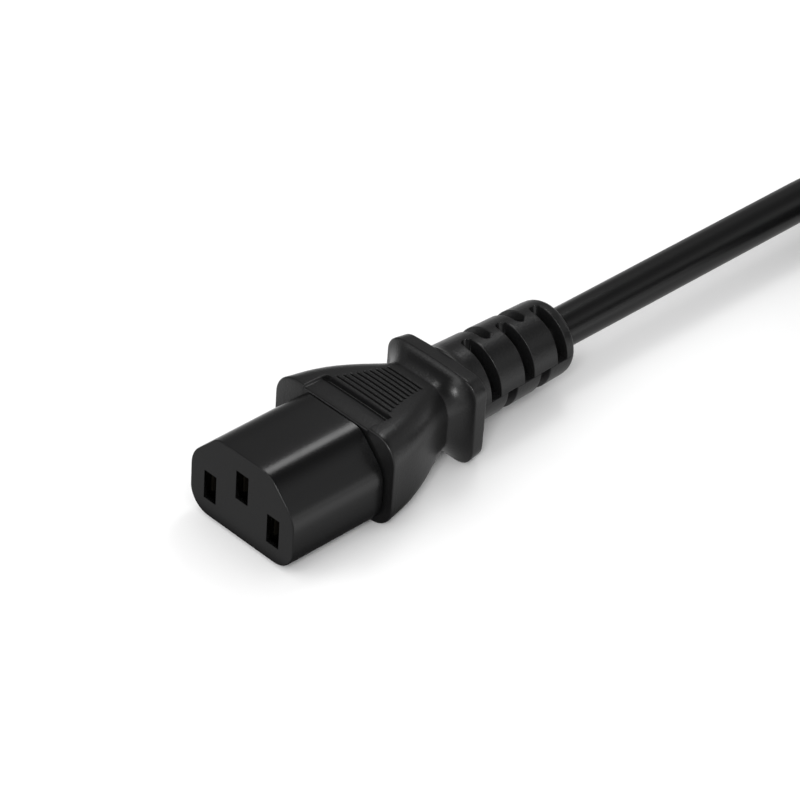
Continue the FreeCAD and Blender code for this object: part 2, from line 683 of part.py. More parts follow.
def rib_cutters(grip, across, front, lift):
    """Cutters for a grip's top: a recessed panel, a channel, and grooves that leave ribs."""
    label = grip["label"]
    count = int(value("Sizes.rib_count"))
    start = f"({front}) + ({grip['front']})"
    cutters = []
    for number in range(count - 1):
        along = f"(Sizes.label_length + {number + 1} * Sizes.rib_pitch - Sizes.rib_gap)"
        share = f"(({along} + Sizes.rib_gap / 2) / Sizes.waist_length)"
        left = (1 - (number + 1) / count) ** 1.5
        half = f"(Sizes.rib_last_half + (Sizes.rib_first_half - Sizes.rib_last_half) * {left:.5f})"
        cutters.append(new_box(
            f"{label}_groove{number}", f"({across}) - {half}", f"({across}) + {half}",
            f"{start} + {along}", f"{start} + {along} + Sizes.rib_gap",
            f"{lift} + {grip_top(share, grip['tall'], grip['neck_top'])} - Sizes.rib_depth",
        ))
    wide = "Sizes.label_half"
    cutters.append(new_box(
        f"{label}_channel", f"({across}) - {wide}", f"({across}) + {wide}",
        f"{start} + Sizes.label_length - Sizes.channel_width", f"{start} + Sizes.label_length",
        f"{lift} + ({grip['tall']}) - Sizes.label_depth - Sizes.rib_depth",
    ))
    cutters.append(new_box(
        f"{label}_panel", f"({across}) - {wide}", f"({across}) + {wide}",
        f"{start} - 1", f"{start} + Sizes.label_length",
        f"{lift} + ({grip['tall']}) - Sizes.label_depth",
    ))
    return cutters


def rounded_path(points):
    """Straight runs joined by tangent arcs, each as large as its two runs allow."""
    edges = []
    radii = []
    last = points[0]
    for before, corner, after in zip(points, points[1:], points[2:]):
        back = before - corner
        ahead = after - corner
        shorter = min(back.Length, ahead.Length)
        half_turn = (math.pi - back.getAngle(ahead)) / 2
        cut = 0.45 * shorter
        radii.append(cut / math.tan(half_turn))
        start = corner + back.normalize() * cut
        end = corner + ahead.normalize() * cut
        inward = (back + ahead).normalize()
        top = corner + inward * (radii[-1] / math.cos(half_turn) - radii[-1])
        edges.append(Part.LineSegment(last, start).toShape())
        edges.append(Part.Arc(start, top, end).toShape())
        last = end
    edges.append(Part.LineSegment(last, points[-1]).toShape())
    return Part.Wire(edges), radii


def tube(path, diameter):
    """A round solid that follows a path."""
    first = path.Edges[0]
    start = first.valueAt(first.FirstParameter)
    direction = first.tangentAt(first.FirstParameter)
    ring = Part.Wire(Part.makeCircle(diameter / 2, start, direction))
    return path.makePipeShell([ring], True, False)


def new_solid(label, shape):
    piece = doc.addObject("Part::Feature", label)
    piece.Label = label
    piece.Shape = shape
    return piece


def core_route(start, end):
    """The way of one core, from its crimp back to where it leaves the jacket."""
    straight = Vector(0, value("Sizes.lead_straight"), 0)
    return [start, start + straight, end - straight, end]


# The cores lie evenly round the cord's axis, in this order from the one that core_turn places
CORE_ORDER = ("earth", "neutral", "line")


def build_core(prefix, pole, x, rise, front, height, cord_x, cord_z, jacket_end):
    """One core: copper strands inside their insulation, bare where the crimp grips them."""
    spread = value("Sizes.core_spread")
    angle = math.radians(value("Sizes.core_turn") + 360 / len(CORE_ORDER) * CORE_ORDER.index(pole))
    crimp = Vector(value(x), value(front), value(f"({height}) + {rise}"))
    bundle = Vector(
        value(cord_x) + spread * math.cos(angle),
        value(jacket_end),
        value(cord_z) + spread * math.sin(angle),
    )
    route = core_route(crimp, bundle)
    path, radii = rounded_path(route)
    print(f"{prefix}{pole} core bends {min(radii):.1f} mm")
    copper = tube(path, value("Sizes.conductor_diameter"))
    cover = tube(path, value("Sizes.core_diameter"))
    insulation = cover.cut(copper)
    bare = value("Sizes.barrel_length") + value("Sizes.bare_length")
    strip_back = Part.makeCylinder(
        value("Sizes.conductor_diameter") / 2, bare, route[0] - Vector(0, bare, 0), Vector(0, 1, 0))
    strands = copper.fuse(strip_back).removeSplitter()
    return (
        new_solid(f"{prefix}{pole}_lead", insulation),
        new_solid(f"{prefix}{pole}_strands", strands),
    )


def close_on(label, form, pieces):
    """What fills its form and closes tightly on everything that it holds or lies against."""
    form.Label = f"{label}_form"
    held = doc.addObject("Part::MultiFuse", f"{label}_held")
    held.Shapes = pieces
    result = doc.addObject("Part::Cut", label)
    result.Label = label
    result.Base = form
    result.Tool = held
    doc.recompute()
    return result


# The plug's insert: a shroud round the pins, and the floor that holds them
def build_plug_insert():
    body = new_body("plug_insert")
    outline = new_sketch(body, "ShroudOutline", "XZ_Plane")
    growth = SHROUD_GROWTH
    corner = f"(Sizes.block_chamfer + {growth} * {2 - math.sqrt(2):.5f})"
    draw_block(outline, SHROUD_WIDTH, SHROUD_TALL, corner, "Sizes.plug_step")
    pad(body, "Shroud", outline, PLUG_FRONT)
    round_block(body, SHROUD_WIDTH, "Sizes.plug_step", growth)
    chamfer(body, "RimEdge", edges_at_y(body.Shape, 0), "Sizes.block_edge")
    recess = new_sketch(body, "RecessOutline", "XZ_Plane")
    clear = "Sizes.mating_clearance"
    recess_corner = f"(Sizes.block_chamfer + {clear} * {2 - math.sqrt(2):.5f})"
    draw_block(
        recess, f"Sizes.block_width + 2 * {clear}", f"Sizes.block_tall + 2 * {clear}",
        recess_corner, "Sizes.plug_step + Sizes.shroud_wall",
    )
    pocket(body, "Recess", recess, "Sizes.shroud_depth")
    half = value("Sizes.block_width / 2 + Sizes.mating_clearance")
    low = value("Sizes.plug_step + Sizes.shroud_wall")
    corners = edges_along_y(body.Shape, lambda p: abs(abs(p.x) - half) < 0.01 and abs(p.z - low) < 0.01)
    fillet(body, "RecessCorners", corners, "Sizes.block_low_radius")
    spigot = new_sketch(body, "SpigotOutline", "XZ_Plane", f"-{PLUG_FRONT}")
    inset = "Sizes.spigot_inset + Sizes.shroud_wall"
    draw_block(
        spigot, f"{SHROUD_WIDTH} - 2 * ({inset})", f"{SHROUD_TALL} - 2 * ({inset})",
        "Sizes.block_chamfer", f"Sizes.plug_step + {inset}",
    )
    pad(body, "Spigot", spigot, "Sizes.spigot_length")
    for pole, x, rise in POLES:
        height = f"{PIN_HEIGHT} + {rise}"
        hole = new_sketch(body, f"{pole}_hole", "XZ_Plane", f"-{PLUG_FRONT} - Sizes.spigot_length")
        draw_box(
            hole, f"{x} - Sizes.pin_thickness / 2", f"{x} + Sizes.pin_thickness / 2",
            f"{height} - Sizes.pin_height / 2", f"{height} + Sizes.pin_height / 2",
        )
        pocket(body, f"{pole}_hole_cut", hole, "Sizes.shroud_floor + Sizes.spigot_length + 1", flip=True)
    return body


# One solid pin, with a chamfered tip and a crimp behind the insert
def build_pin(pole):
    body = new_body(f"plug_{pole}_pin")
    outline = new_sketch(body, "PinOutline", "XZ_Plane")
    draw_box(
        outline, "-Sizes.pin_thickness / 2", "Sizes.pin_thickness / 2",
        "-Sizes.pin_height / 2", "Sizes.pin_height / 2",
    )
    length = f"({PLUG_FRONT} + Sizes.spigot_length - Sizes.pin_setback)"
    pad(body, "Blade", outline, length)
    chamfer(body, "Tip", edges_at_y(body.Shape, 0), "Sizes.pin_tip")
    crimp = new_sketch(body, "CrimpOutline", "XZ_Plane", f"-{length}")
    draw_circle(crimp, "0", "0", "Sizes.conductor_diameter / 2 + Sizes.barrel_wall")
    pad(body, "Crimp", crimp, "Sizes.barrel_length")
    bore = new_sketch(body, "CrimpBore", "XZ_Plane", f"-{length} - Sizes.barrel_length")
    draw_circle(bore, "0", "0", "Sizes.conductor_diameter / 2")
    pocket(body, "CrimpBoreCut", bore, "Sizes.barrel_length", flip=True)
    return body


def build_cord():
    """The cord: held straight by the connector, then down to the surface and into the hank."""
    jacket_end = value(f"{CONNECTOR_LENGTH} / 2 - Sizes.jacket_inside")
    high = value("Sizes.cord_height")
    low = value(LOW_RUN)
    points = [
        Vector(0, jacket_end, high),
        Vector(0, value(f"{HANK_FRONT} - Sizes.drop_start"), high),
        Vector(0, value(f"{HANK_FRONT} - Sizes.drop_end"), low),
        Vector(0, value(f"{HANK_FRONT} + Sizes.drop_end"), low),
    ]
    path, radii = rounded_path(points)
    return path, radii, "cord"


def build_tail():
    """The last of the cord: off the top of the hank, and up to the plug that lies on it."""
    outer = value(f"{PLUG_X} + Sizes.cord_diameter")
    across = value(PLUG_X)
    high = value(HIGH_RUN)
    axis = value(f"{HANK_TOP} + {PLUG_AXIS}")
    rise_start = value(f"{HANK_BACK} - Sizes.tail_straight")
    points = [
        Vector(outer, value(HANK_BACK), high),
        Vector(outer, rise_start, high),
        Vector(across, rise_start - value("Sizes.tail_rise"), axis),
        Vector(across, value(f"{PLUG_END} - Sizes.jacket_inside"), axis),
    ]
    path, radii = rounded_path(points)
    return path, radii, "cord_tail"


def build_cord_solids():
    """Both free stretches of the cord as plain tubes, with a check of their volume."""
    diameter = value("Sizes.cord_diameter")
    tubes = []
    for path, radii, label in (build_cord(), build_tail()):
        shape = tube(path, diameter)
        expected = math.pi * diameter ** 2 / 4 * path.Length
        print(f"{label}: {path.Length:.1f} mm long, volume {shape.Volume / expected:.4f} of its section"
              f" times length, radii {', '.join(f'{radius:.0f}' for radius in radii)} mm")
        tubes.append(new_solid(label, shape))
    return tubes


def draw_runs_outline(sketch, middle="Sizes.fold_radius", growth="0"):
    """The outside of two runs lying side by side with two more on top of them."""
    reach = f"(Sizes.cord_diameter / 2 + {growth})"
    radius = value(reach)
    inner_run = f"{middle} - Sizes.cord_diameter / 2"
    outer_run = f"{middle} + Sizes.cord_diameter / 2"
    inner, outer, low, high = (value(place) for place in (inner_run, outer_run, LOW_RUN, HIGH_RUN))
    base = line(sketch, inner, low - radius, outer, low - radius)
    outer_low = arc(sketch, outer, low, radius, -90, 0)
    outer_side = line(sketch, outer + radius, low, outer + radius, high)
    outer_high = arc(sketch, outer, high, radius, 0, 90)
    top = line(sketch, outer, high + radius, inner, high + radius)
    inner_high = arc(sketch, inner, high, radius, 90, 180)
    inner_side = line(sketch, inner - radius, high, inner - radius, low)
    inner_low = arc(sketch, inner, low, radius, 180, 270)
    join(sketch, [
        (base, 2, outer_low, 1), (outer_low, 2, outer_side, 1), (outer_side, 2, outer_high, 1),
        (outer_high, 2, top, 1), (top, 2, inner_high, 1), (inner_high, 2, inner_side, 1),
        (inner_side, 2, inner_low, 1), (inner_low, 2, base, 1),
    ], "Tangent")
    for name, edge, across, up in (
        ("outer_low", outer_low, outer_run, LOW_RUN),
        ("outer_high", outer_high, outer_run, HIGH_RUN),
        ("inner_high", inner_high, inner_run, HIGH_RUN),
        ("inner_low", inner_low, inner_run, LOW_RUN),
    ):
        distance_x(sketch, edge, 3, f"{name}_across", across)
        distance_y(sketch, edge, 3, f"{name}_up", up)
    bind(sketch, Sketcher.Constraint("Radius", outer_low, radius), "turn", reach)


def turn_round(body, kind, name, sketch, angle):
    """Sweep an outline round a fold's upright axis, to add or to remove it."""
    feature = body.newObject(f"PartDesign::{kind}", name)
    feature.Profile = sketch
    feature.ReferenceAxis = (sketch, ["V_Axis"])
    feature.setExpression("Angle", angle)
    doc.recompute()
    return feature


def build_hank():
    """The put-away turns as one solid of their outer shape: two straight sides and two folds."""
    body = new_body("hank")
    near = new_sketch(body, "NearFoldOutline", "XZ_Plane")
    draw_runs_outline(near)
    near_fold = turn_round(body, "Revolution", "NearFold", near, "180")
    near_fold.Reversed = True
    doc.recompute()
    for name, middle in (("Right", "Sizes.fold_radius"), ("Left", "-Sizes.fold_radius")):
        side = new_sketch(body, f"{name}Outline", "XZ_Plane")
        draw_runs_outline(side, middle)
        pad(body, f"{name}Runs", side, "Sizes.hank_run")
    far = new_sketch(body, "FarFoldOutline", "XZ_Plane", "-Sizes.hank_run")
    draw_runs_outline(far)
    turn_round(body, "Revolution", "FarFold", far, "180")
    place(body, HANK_X, HANK_FRONT)
    return body


def build_tie():
    """The strap round the near fold: a short stretch of its outline, grown by its thickness."""
    body = new_body("coil_tie")
    sweep = f"Sizes.tie_width / Sizes.fold_radius * {180 / math.pi:.5f}"
    outside = new_sketch(body, "StrapOutside", "XZ_Plane")
    draw_runs_outline(outside, growth="Sizes.tie_thickness")
    strap = turn_round(body, "Revolution", "Strap", outside, sweep)
    inside = new_sketch(body, "StrapInside", "XZ_Plane")
    draw_runs_outline(inside)
    hollow = turn_round(body, "Groove", "StrapHollow", inside, sweep)
    for feature in (strap, hollow):
        feature.Midplane = True
    body.Placement = FreeCAD.Placement(Vector(0, 0, 0), FreeCAD.Rotation(Vector(0, 0, 1), -90))
    place(body, HANK_X, HANK_FRONT)
    return body


def connector_grip():
    """The places that the connector's own grip takes."""
    return {
        "label": "connector",
        "front": "Sizes.block_length",
        "half": "Sizes.shoulder_half",
        "tall": "Sizes.shoulder_tall",
        "neck_half": "Sizes.neck_half",
        "neck_top": "Sizes.neck_top",
        "neck_bottom": "Sizes.neck_bottom",
        "rim_top": "Sizes.rim_tall",
        "rim_bottom": "0",
        "axis": "Sizes.cord_height",
    }


def plug_grip():
    """The plug's grip: its shoulder covers the insert, and its collar is centred on the cord."""
    return {
        "label": "plug",
        "front": PLUG_FRONT,
        "half": f"({SHROUD_WIDTH} / 2 + Sizes.plug_step)",
        "tall": f"({SHROUD_TALL} + 2 * Sizes.plug_step)",
        "neck_half": "Sizes.plug_neck_half",
        "neck_top": f"({PLUG_AXIS} + Sizes.plug_neck_tall / 2)",
        "neck_bottom": f"({PLUG_AXIS} - Sizes.plug_neck_tall / 2)",
        "rim_top": f"({PLUG_AXIS} + Sizes.rim_tall / 2)",
        "rim_bottom": f"({PLUG_AXIS} - Sizes.rim_tall / 2)",
        "axis": PLUG_AXIS,
    }


def build_connector(cord):
    """The moulded connector, built from its contacts outwards."""
    front = f"-{CONNECTOR_LENGTH} / 2"
    jacket_end = f"{CONNECTOR_LENGTH} / 2 - Sizes.jacket_inside"
    carrier = build_carrier()
    contacts = []
    cores = []
    for pole, x, rise in POLES:
        contacts.append(build_contact(pole, x, rise))
        core_start = (
            f"{front} + Sizes.entry_depth + Sizes.contact_front + Sizes.contact_length"
            " + Sizes.barrel_length + Sizes.bare_length"
        )
        cores += build_core(
            "", pole, x, rise, core_start, SLOT_HEIGHT, "0", "Sizes.cord_height", jacket_end)
    grip = build_grip("connector_grip", connector_grip())
    place(grip, y=front)
    cutters = rib_cutters(connector_grip(), "0", front, "0")
    overmould = close_on(
        "connector_overmould", grip, [carrier, *contacts, *cores, cord, *cutters])
    return [carrier, overmould, *contacts, *cores]


def build_plug(tail):
    """The moulded plug, lying on the hank and pointing the same way as the connector."""
    front = f"({PLUG_END} - {PLUG_LENGTH})"
    jacket_end = f"{PLUG_END} - Sizes.jacket_inside"
    pin_height = f"{HANK_TOP} + {PIN_HEIGHT}"
    insert = build_plug_insert()
    place(insert, PLUG_X, front, HANK_TOP)
    pins = []
    cores = []
    for pole, x, rise in POLES:
        across = f"{PLUG_X} + {x}"
        pin = build_pin(pole)
        place(pin, across, f"{front} + Sizes.pin_setback", f"{pin_height} + {rise}")
        pins.append(pin)
        core_start = (
            f"{front} + {PLUG_FRONT} + Sizes.spigot_length + Sizes.barrel_length + Sizes.bare_length"
        )
        cores += build_core(
            "plug_", pole, across, rise, core_start, pin_height, PLUG_X,
            f"{HANK_TOP} + {PLUG_AXIS}", jacket_end,
        )
    grip = build_grip("plug_grip", plug_grip())
    place(grip, PLUG_X, front, HANK_TOP)
    cutters = rib_cutters(plug_grip(), PLUG_X, front, HANK_TOP)
    overmould = close_on("plug_overmould", grip, [insert, *pins, *cores, tail, *cutters])
    return [insert, overmould, *pins, *cores]


cord, tail = build_cord_solids()
pieces = build_connector(cord) + build_plug(tail)
hank = close_on("cord_coil", build_hank(), [cord, tail])
pieces += [cord, tail, hank, build_tie()]
doc.recompute()

failed = [item.Label for item in doc.Objects if "Invalid" in item.State or "Error" in item.State]
if failed:
    raise RuntimeError(f"these did not build: {failed}")
for piece in pieces:
    shape = piece.Shape
    if shape.isNull() or not shape.isValid() or len(shape.Solids) != 1:
        raise RuntimeError(f"{piece.Label} is not one valid solid")
    shape.exportStep(f"parts/{piece.Label}.step")
    box = shape.BoundBox
    print(f"{piece.Label}: {shape.Volume:.0f} mm3, x {box.XMin:.2f} to {box.XMax:.2f}, "
          f"y {box.YMin:.2f} to {box.YMax:.2f}, z {box.ZMin:.2f} to {box.ZMax:.2f}")
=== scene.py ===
# %% [markdown]
# A power cord
# This lesson dresses a mains power cord: a moulded connector with three slots, a slotted
# strain relief, and a round black cord that ends in a plug.
# The CAD model gives every place and size. Blender adds the small edge roundings, the fine
# texture of the moulds, the runs of the folded cord, the light and the camera.

# %% Load the model
import math

import bpy
import numpy as np
from mathutils import Matrix, Vector
from mathutils.geometry import tessellate_polygon


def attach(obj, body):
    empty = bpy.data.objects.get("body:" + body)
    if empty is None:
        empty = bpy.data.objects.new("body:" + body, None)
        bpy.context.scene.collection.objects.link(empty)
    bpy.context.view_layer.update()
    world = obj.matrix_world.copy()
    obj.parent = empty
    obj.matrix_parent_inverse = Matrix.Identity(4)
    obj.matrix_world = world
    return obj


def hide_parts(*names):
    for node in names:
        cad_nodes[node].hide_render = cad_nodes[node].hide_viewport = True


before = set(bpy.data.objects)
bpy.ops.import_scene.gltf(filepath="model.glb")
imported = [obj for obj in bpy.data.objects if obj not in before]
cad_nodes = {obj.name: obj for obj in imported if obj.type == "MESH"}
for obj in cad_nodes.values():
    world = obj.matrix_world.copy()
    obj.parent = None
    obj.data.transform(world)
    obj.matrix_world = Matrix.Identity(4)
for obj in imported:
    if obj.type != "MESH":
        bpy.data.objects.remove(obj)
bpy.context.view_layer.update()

scene = bpy.context.scene
MM = 0.001


def add_object(name, data):
    """A new object in the scene that carries a mesh, curve, light or camera."""
    made = bpy.data.objects.new(name, data)
    scene.collection.objects.link(made)
    return made


print(len(cad_nodes), "CAD nodes")

# %% [markdown]
# The camera
# The photograph was taken from the front right and from above, with a long lens.
# A camera could be aimed by hand until the edges agree. Here its place and its three
# directions come from the mating pattern in the photograph, whose real size is known,
# so every edge of the model falls where the photograph shows it.

# %% Place the camera
camera_right = (0.69576, 0.71589, 0.05849)
camera_up = (-0.45842, 0.37988, 0.80346)
camera_back = (0.55296, -0.58583, 0.59248)
camera_place = (0.30292, -0.32115, 0.33573)

camera_data = bpy.data.cameras.new("photo_camera")
camera_data.sensor_width = 36.0
camera_data.lens = 159.53
camera_data.clip_start = 0.01
camera = add_object("photo_camera", camera_data)
turn = Matrix((camera_right, camera_up, camera_back)).transposed()
camera.matrix_world = Matrix.Translation(camera_place) @ turn.to_4x4()
scene.camera = camera
print("camera at", [round(value, 3) for value in camera.location])

# %% [markdown]
# The cord
# The real cord is a round rubber jacket, held straight by the connector's strain relief.
# It could be a mesh tube, but a curve with a round bevel keeps one clean centre line.
# Its route has few points and one smooth spline goes near them. Behind the view the cord
# sinks to the surface and is folded into a neat hank, two runs wide and two runs high.

# %% The route from the relief down to the hank
CORD_RADIUS = 3.4
CORD_START = 8.9
AXIS_HEIGHT = 8.4
LOW = 4.2
HIGH = LOW + 2 * CORD_RADIUS
NEAR_FOLD = 127.0
SINKING = ((41.0, AXIS_HEIGHT), (24.0, AXIS_HEIGHT), (7.0, LOW), (-10.0, LOW))

route = [(0.0, CORD_START, AXIS_HEIGHT)]
route += [(0.0, NEAR_FOLD - before, height) for before, height in SINKING]
print(len(route), "points before the hank")

# %% The folds of the hank
HANK_X = 27.2
FAR_FOLD = 202.0
OUTER = 27.2
INNER = 20.4
CROSSING = (26.6, 23.4)
CLIMB = 1.2
FOLD_ANGLES = (15, 45, 75, 105, 135, 165)
HALF_STEP = math.radians(15)
OUTWARD = 1 / math.cos(HALF_STEP)
BEFORE_FOLD = math.tan(HALF_STEP)


def far_fold(radius, height):
    """From the left side round the far end to the right side."""
    points = [(HANK_X - radius, FAR_FOLD - BEFORE_FOLD * radius, height)]
    for degrees in FOLD_ANGLES:
        angle = math.radians(180 - degrees)
        x = HANK_X + radius * OUTWARD * math.cos(angle)
        points.append((x, FAR_FOLD + radius * OUTWARD * math.sin(angle), height))
    points.append((HANK_X + radius, FAR_FOLD - BEFORE_FOLD * radius, height))
    return points


def near_fold(radii, heights):
    """From the right side round the near end to the left side, while it changes places."""
    points = [(HANK_X + radii[0], NEAR_FOLD + BEFORE_FOLD * radii[0], heights[0])]
    for degrees, radius, height in zip(FOLD_ANGLES, radii, heights):
        angle = math.radians(-degrees)
        x = HANK_X + radius * OUTWARD * math.cos(angle)
        points.append((x, NEAR_FOLD + radius * OUTWARD * math.sin(angle), height))
    points.append((HANK_X - radii[-1], NEAR_FOLD + BEFORE_FOLD * radii[-1], heights[-1]))
    return points


all_along = len(FOLD_ANGLES)
route += far_fold(OUTER, LOW)
route += near_fold((OUTER, OUTER, OUTER, *CROSSING, INNER), [LOW] * all_along)
route += far_fold(INNER, LOW)
route += near_fold([INNER] * all_along, (LOW, LOW, LOW + CLIMB, HIGH - CLIMB, HIGH, HIGH))
route += far_fold(INNER, HIGH)
route += near_fold((INNER, *reversed(CROSSING), OUTER, OUTER, OUTER), [HIGH] * all_along)
route += far_fold(OUTER, HIGH)
print(len(route), "points to the end of the hank")

# %% The last of the cord, up to the plug that lies on the hank
PLUG_X = 47.6
PLUG_LIFT = 14.4
PLUG_AXIS = 10.395
RISE_FROM = FAR_FOLD - 22.0
RISE_TO = FAR_FOLD - 50.0
CORD_END = 115.3

plug_height = PLUG_LIFT + PLUG_AXIS
rise_start = Vector((HANK_X + OUTER, RISE_FROM, HIGH))
rise_end = Vector((PLUG_X, RISE_TO, plug_height))
rise = rise_end - rise_start
first_leg = route[-1][1] - rise_start.y
last_leg = rise.length - first_leg
route += [
    tuple(rise_start),
    tuple(rise_start + rise.normalized() * first_leg),
    tuple(rise_end),
    (PLUG_X, rise_end.y - last_leg, plug_height),
    (PLUG_X, CORD_END, plug_height),
]
print("the cord rises by", round(rise.z, 1), "mm into the plug")

# %% Draw the cord along its route
cord_curve = bpy.data.curves.new("cord", "CURVE")
cord_curve.dimensions = "3D"
cord_line = cord_curve.splines.new("NURBS")
cord_line.points.add(len(route) - 1)
for point, (x, y, z) in zip(cord_line.points, route):
    point.co = (x * MM, y * MM, z * MM, 1.0)
    point.radius = CORD_RADIUS * MM
cord_line.order_u = 3
cord_line.use_endpoint_u = True
cord_line.resolution_u = 12
cord_curve.bevel_depth = 1.0
cord_curve.bevel_resolution = 10
cord_curve.use_fill_caps = True
cord = add_object("mains_cord", cord_curve)
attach(cord, "root")
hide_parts("cord", "cord_coil", "cord_tail")
print("cord with", len(route), "points")

# %% [markdown]
# The moulded grips
# Each end is one moulding: it narrows from its shoulder to a neck, flares out to a collar,
# and goes on as a round strain relief. It could be cut out of the CAD solid with bevels on
# every edge. A grid of rows and columns gives better control: every row is one cross-section,
# its edges are rounded by rows close together, and ribs and panel are pressed into the grid.

# %% A cross-section with a crowned top
CROWN = 95.0
SHOULDER_RADIUS = 4.4
PANEL_HALF = 7.2
TRACE_POINTS = 60
SIDE_COLUMNS = 10
CORNER_COLUMNS = 9
BASE_COLUMNS = 10
PANEL_COLUMNS = 22
CREST_COLUMNS = 22
WALL = (-0.30, -0.22, -0.14, -0.07, 0.0, 0.07, 0.14)
WALL_SHARES = (1.0, 0.985, 0.9, 0.5, 0.1, 0.015, 0.0)

connector_grip = {
    "half": 13.2, "tall": 16.6, "neck_half": 7.35, "neck_top": 14.6, "neck_bottom": 1.7,
    "rim_top": 16.05, "rim_bottom": 0.0,
}


def upper_quarter(half, top, radius, crown):
    """Points from the middle of a section's top round its corner, and the height of their end."""
    inner = half - radius
    centre = top - crown
    high = centre + math.sqrt((crown - radius) ** 2 - inner ** 2)
    lean = math.atan2(high - centre, inner)
    flat = np.linspace(math.pi / 2, lean, TRACE_POINTS)
    bend = np.linspace(lean, 0.0, TRACE_POINTS)[1:]
    x = np.concatenate([crown * np.cos(flat), inner + radius * np.cos(bend)])
    z = np.concatenate([centre + crown * np.sin(flat), high + radius * np.sin(bend)])
    return x, z, high


def section(half, top, bottom, radius, edge, crown=CROWN):
    """One row of the grid: across, height, and how far each column takes part in a recess."""
    x, z, high = upper_quarter(half, top, radius, crown)
    along = np.concatenate([[0.0], np.cumsum(np.hypot(np.diff(x), np.diff(z)))])
    edge_along = np.interp(edge, x, along)
    columns = np.concatenate([
        np.linspace(0.0, edge_along + WALL[0], PANEL_COLUMNS)[:-1],
        edge_along + np.array(WALL),
        np.linspace(edge_along + WALL[-1], along[-1], CREST_COLUMNS)[1:],
    ])
    part = np.concatenate([
        np.ones(PANEL_COLUMNS - 1), np.array(WALL_SHARES), np.zeros(CREST_COLUMNS - 1)])
    right_x = np.interp(columns, along, x)
    right_z = np.interp(columns, along, z)
    low = bottom + radius
    side = np.linspace(high, low, SIDE_COLUMNS)[1:-1]
    bend = np.linspace(0.0, -math.pi / 2, CORNER_COLUMNS)
    base = np.linspace(half - radius, 0.0, BASE_COLUMNS)[1:]
    right_x = np.concatenate([
        right_x, np.full(len(side), half), half - radius + radius * np.cos(bend), base])
    right_z = np.concatenate([
        right_z, side, low + radius * np.sin(bend), np.full(len(base), bottom)])
    part = np.concatenate([part, np.zeros(len(right_x) - len(part))])
    full_x = np.concatenate([right_x, -right_x[-2:0:-1]])
    full_z = np.concatenate([right_z, right_z[-2:0:-1]])
    full_part = np.concatenate([part, part[-2:0:-1]])
    return full_x, full_z, full_part


shoulder_x, _, _ = section(
    connector_grip["half"], connector_grip["tall"], 0.0, SHOULDER_RADIUS, PANEL_HALF)
print(len(shoulder_x), "columns round a grip")

# %% [markdown]
# The rows of a grip
# From front to back a grip has a rounded front edge, a recessed panel, a dark channel, ribs,
# a smooth waist, a flare and a collar. Grooves between ribs could be separate cutters.
# Here a row simply says how deep the top is pressed in there, so each wall leans a little
# and each edge is soft, as it comes out of a mould.

# %% The recess of a grip's top, row by row
RIB_COUNT = 10
RIB_PITCH = 1.108
RIB_DEPTH = 0.65
LONG_RIB = 6.35
SHORT_RIB = 3.7
GAP = 0.52
GAP_SHIFT = 0.1
GAP_WALL = ((-0.10, 0.0), (-0.04, 0.05), (0.02, 0.20), (0.08, 0.90), (0.14, 1.0))
PANEL_DEPTH = 0.4
PANEL_LENGTH = 5.0
CHANNEL = 1.1


def rib_half(number):
    """Half the length of a groove behind one rib."""
    return SHORT_RIB + (LONG_RIB - SHORT_RIB) * (1 - number / RIB_COUNT) ** 1.5


def recess_rows():
    """Distance behind the shoulder, depth there, and half the width of the recess."""
    start = PANEL_LENGTH - CHANNEL
    deep = PANEL_DEPTH + RIB_DEPTH
    rows = [(distance, PANEL_DEPTH, PANEL_HALF) for distance in (1.2, 2.4, start - 0.12)]
    into_channel = (
        (-0.04, PANEL_DEPTH + 0.03), (0.03, PANEL_DEPTH + 0.2), (0.08, deep - 0.06), (0.16, deep))
    rows += [(start + offset, depth, PANEL_HALF) for offset, depth in into_channel]
    out_of_channel = (
        (-0.12, deep, PANEL_HALF - 0.1), (-0.05, deep - 0.07, PANEL_HALF - 0.2),
        (0.02, 0.12, rib_half(1) + 0.45), (0.07, 0.03, rib_half(1) + 0.2),
        (0.14, 0.0, rib_half(1)),
    )
    rows += [(PANEL_LENGTH + offset, depth, half) for offset, depth, half in out_of_channel]
    for number in range(1, RIB_COUNT):
        back = PANEL_LENGTH + number * RIB_PITCH + GAP_SHIFT
        front = back - GAP
        half = rib_half(number)
        rows += [(front + offset, share * RIB_DEPTH, half) for offset, share in GAP_WALL]
        rows += [(back - offset, share * RIB_DEPTH, half) for offset, share in reversed(GAP_WALL)]
    return rows


print(len(recess_rows()), "rows with a recess")

# %% The outline of a grip along its length
WAIST = 17.3
SHOULDER_CROWN = 400.0
ROUNDER_AT_NECK = 0.2
FLANK_SHARES = (0.0, 0.25, 0.5, 0.75, 1.0)
FLANK_LEFT = (1.0, 0.855, 0.63, 0.305, 0.0)
flank_curve = np.polyfit(FLANK_SHARES, FLANK_LEFT, len(FLANK_SHARES) - 1)


def waist_section(grip, distance):
    """Half width, top, bottom, corner radius and crown between a grip's shoulder and its neck."""
    share = distance / WAIST
    left = float(np.polyval(flank_curve, share))
    half = grip["neck_half"] + (grip["half"] - grip["neck_half"]) * left
    top = grip["neck_top"] + (grip["tall"] - grip["neck_top"]) * (1 - share ** 2)
    bottom = grip["neck_bottom"] * share ** 2
    radius = SHOULDER_RADIUS + ROUNDER_AT_NECK * share
    crown = SHOULDER_CROWN * CROWN / (CROWN + (SHOULDER_CROWN - CROWN) * share)
    return half, top, bottom, radius, crown


middle = waist_section(connector_grip, WAIST / 2)
print("half width at mid waist", round(middle[0], 2), "mm")

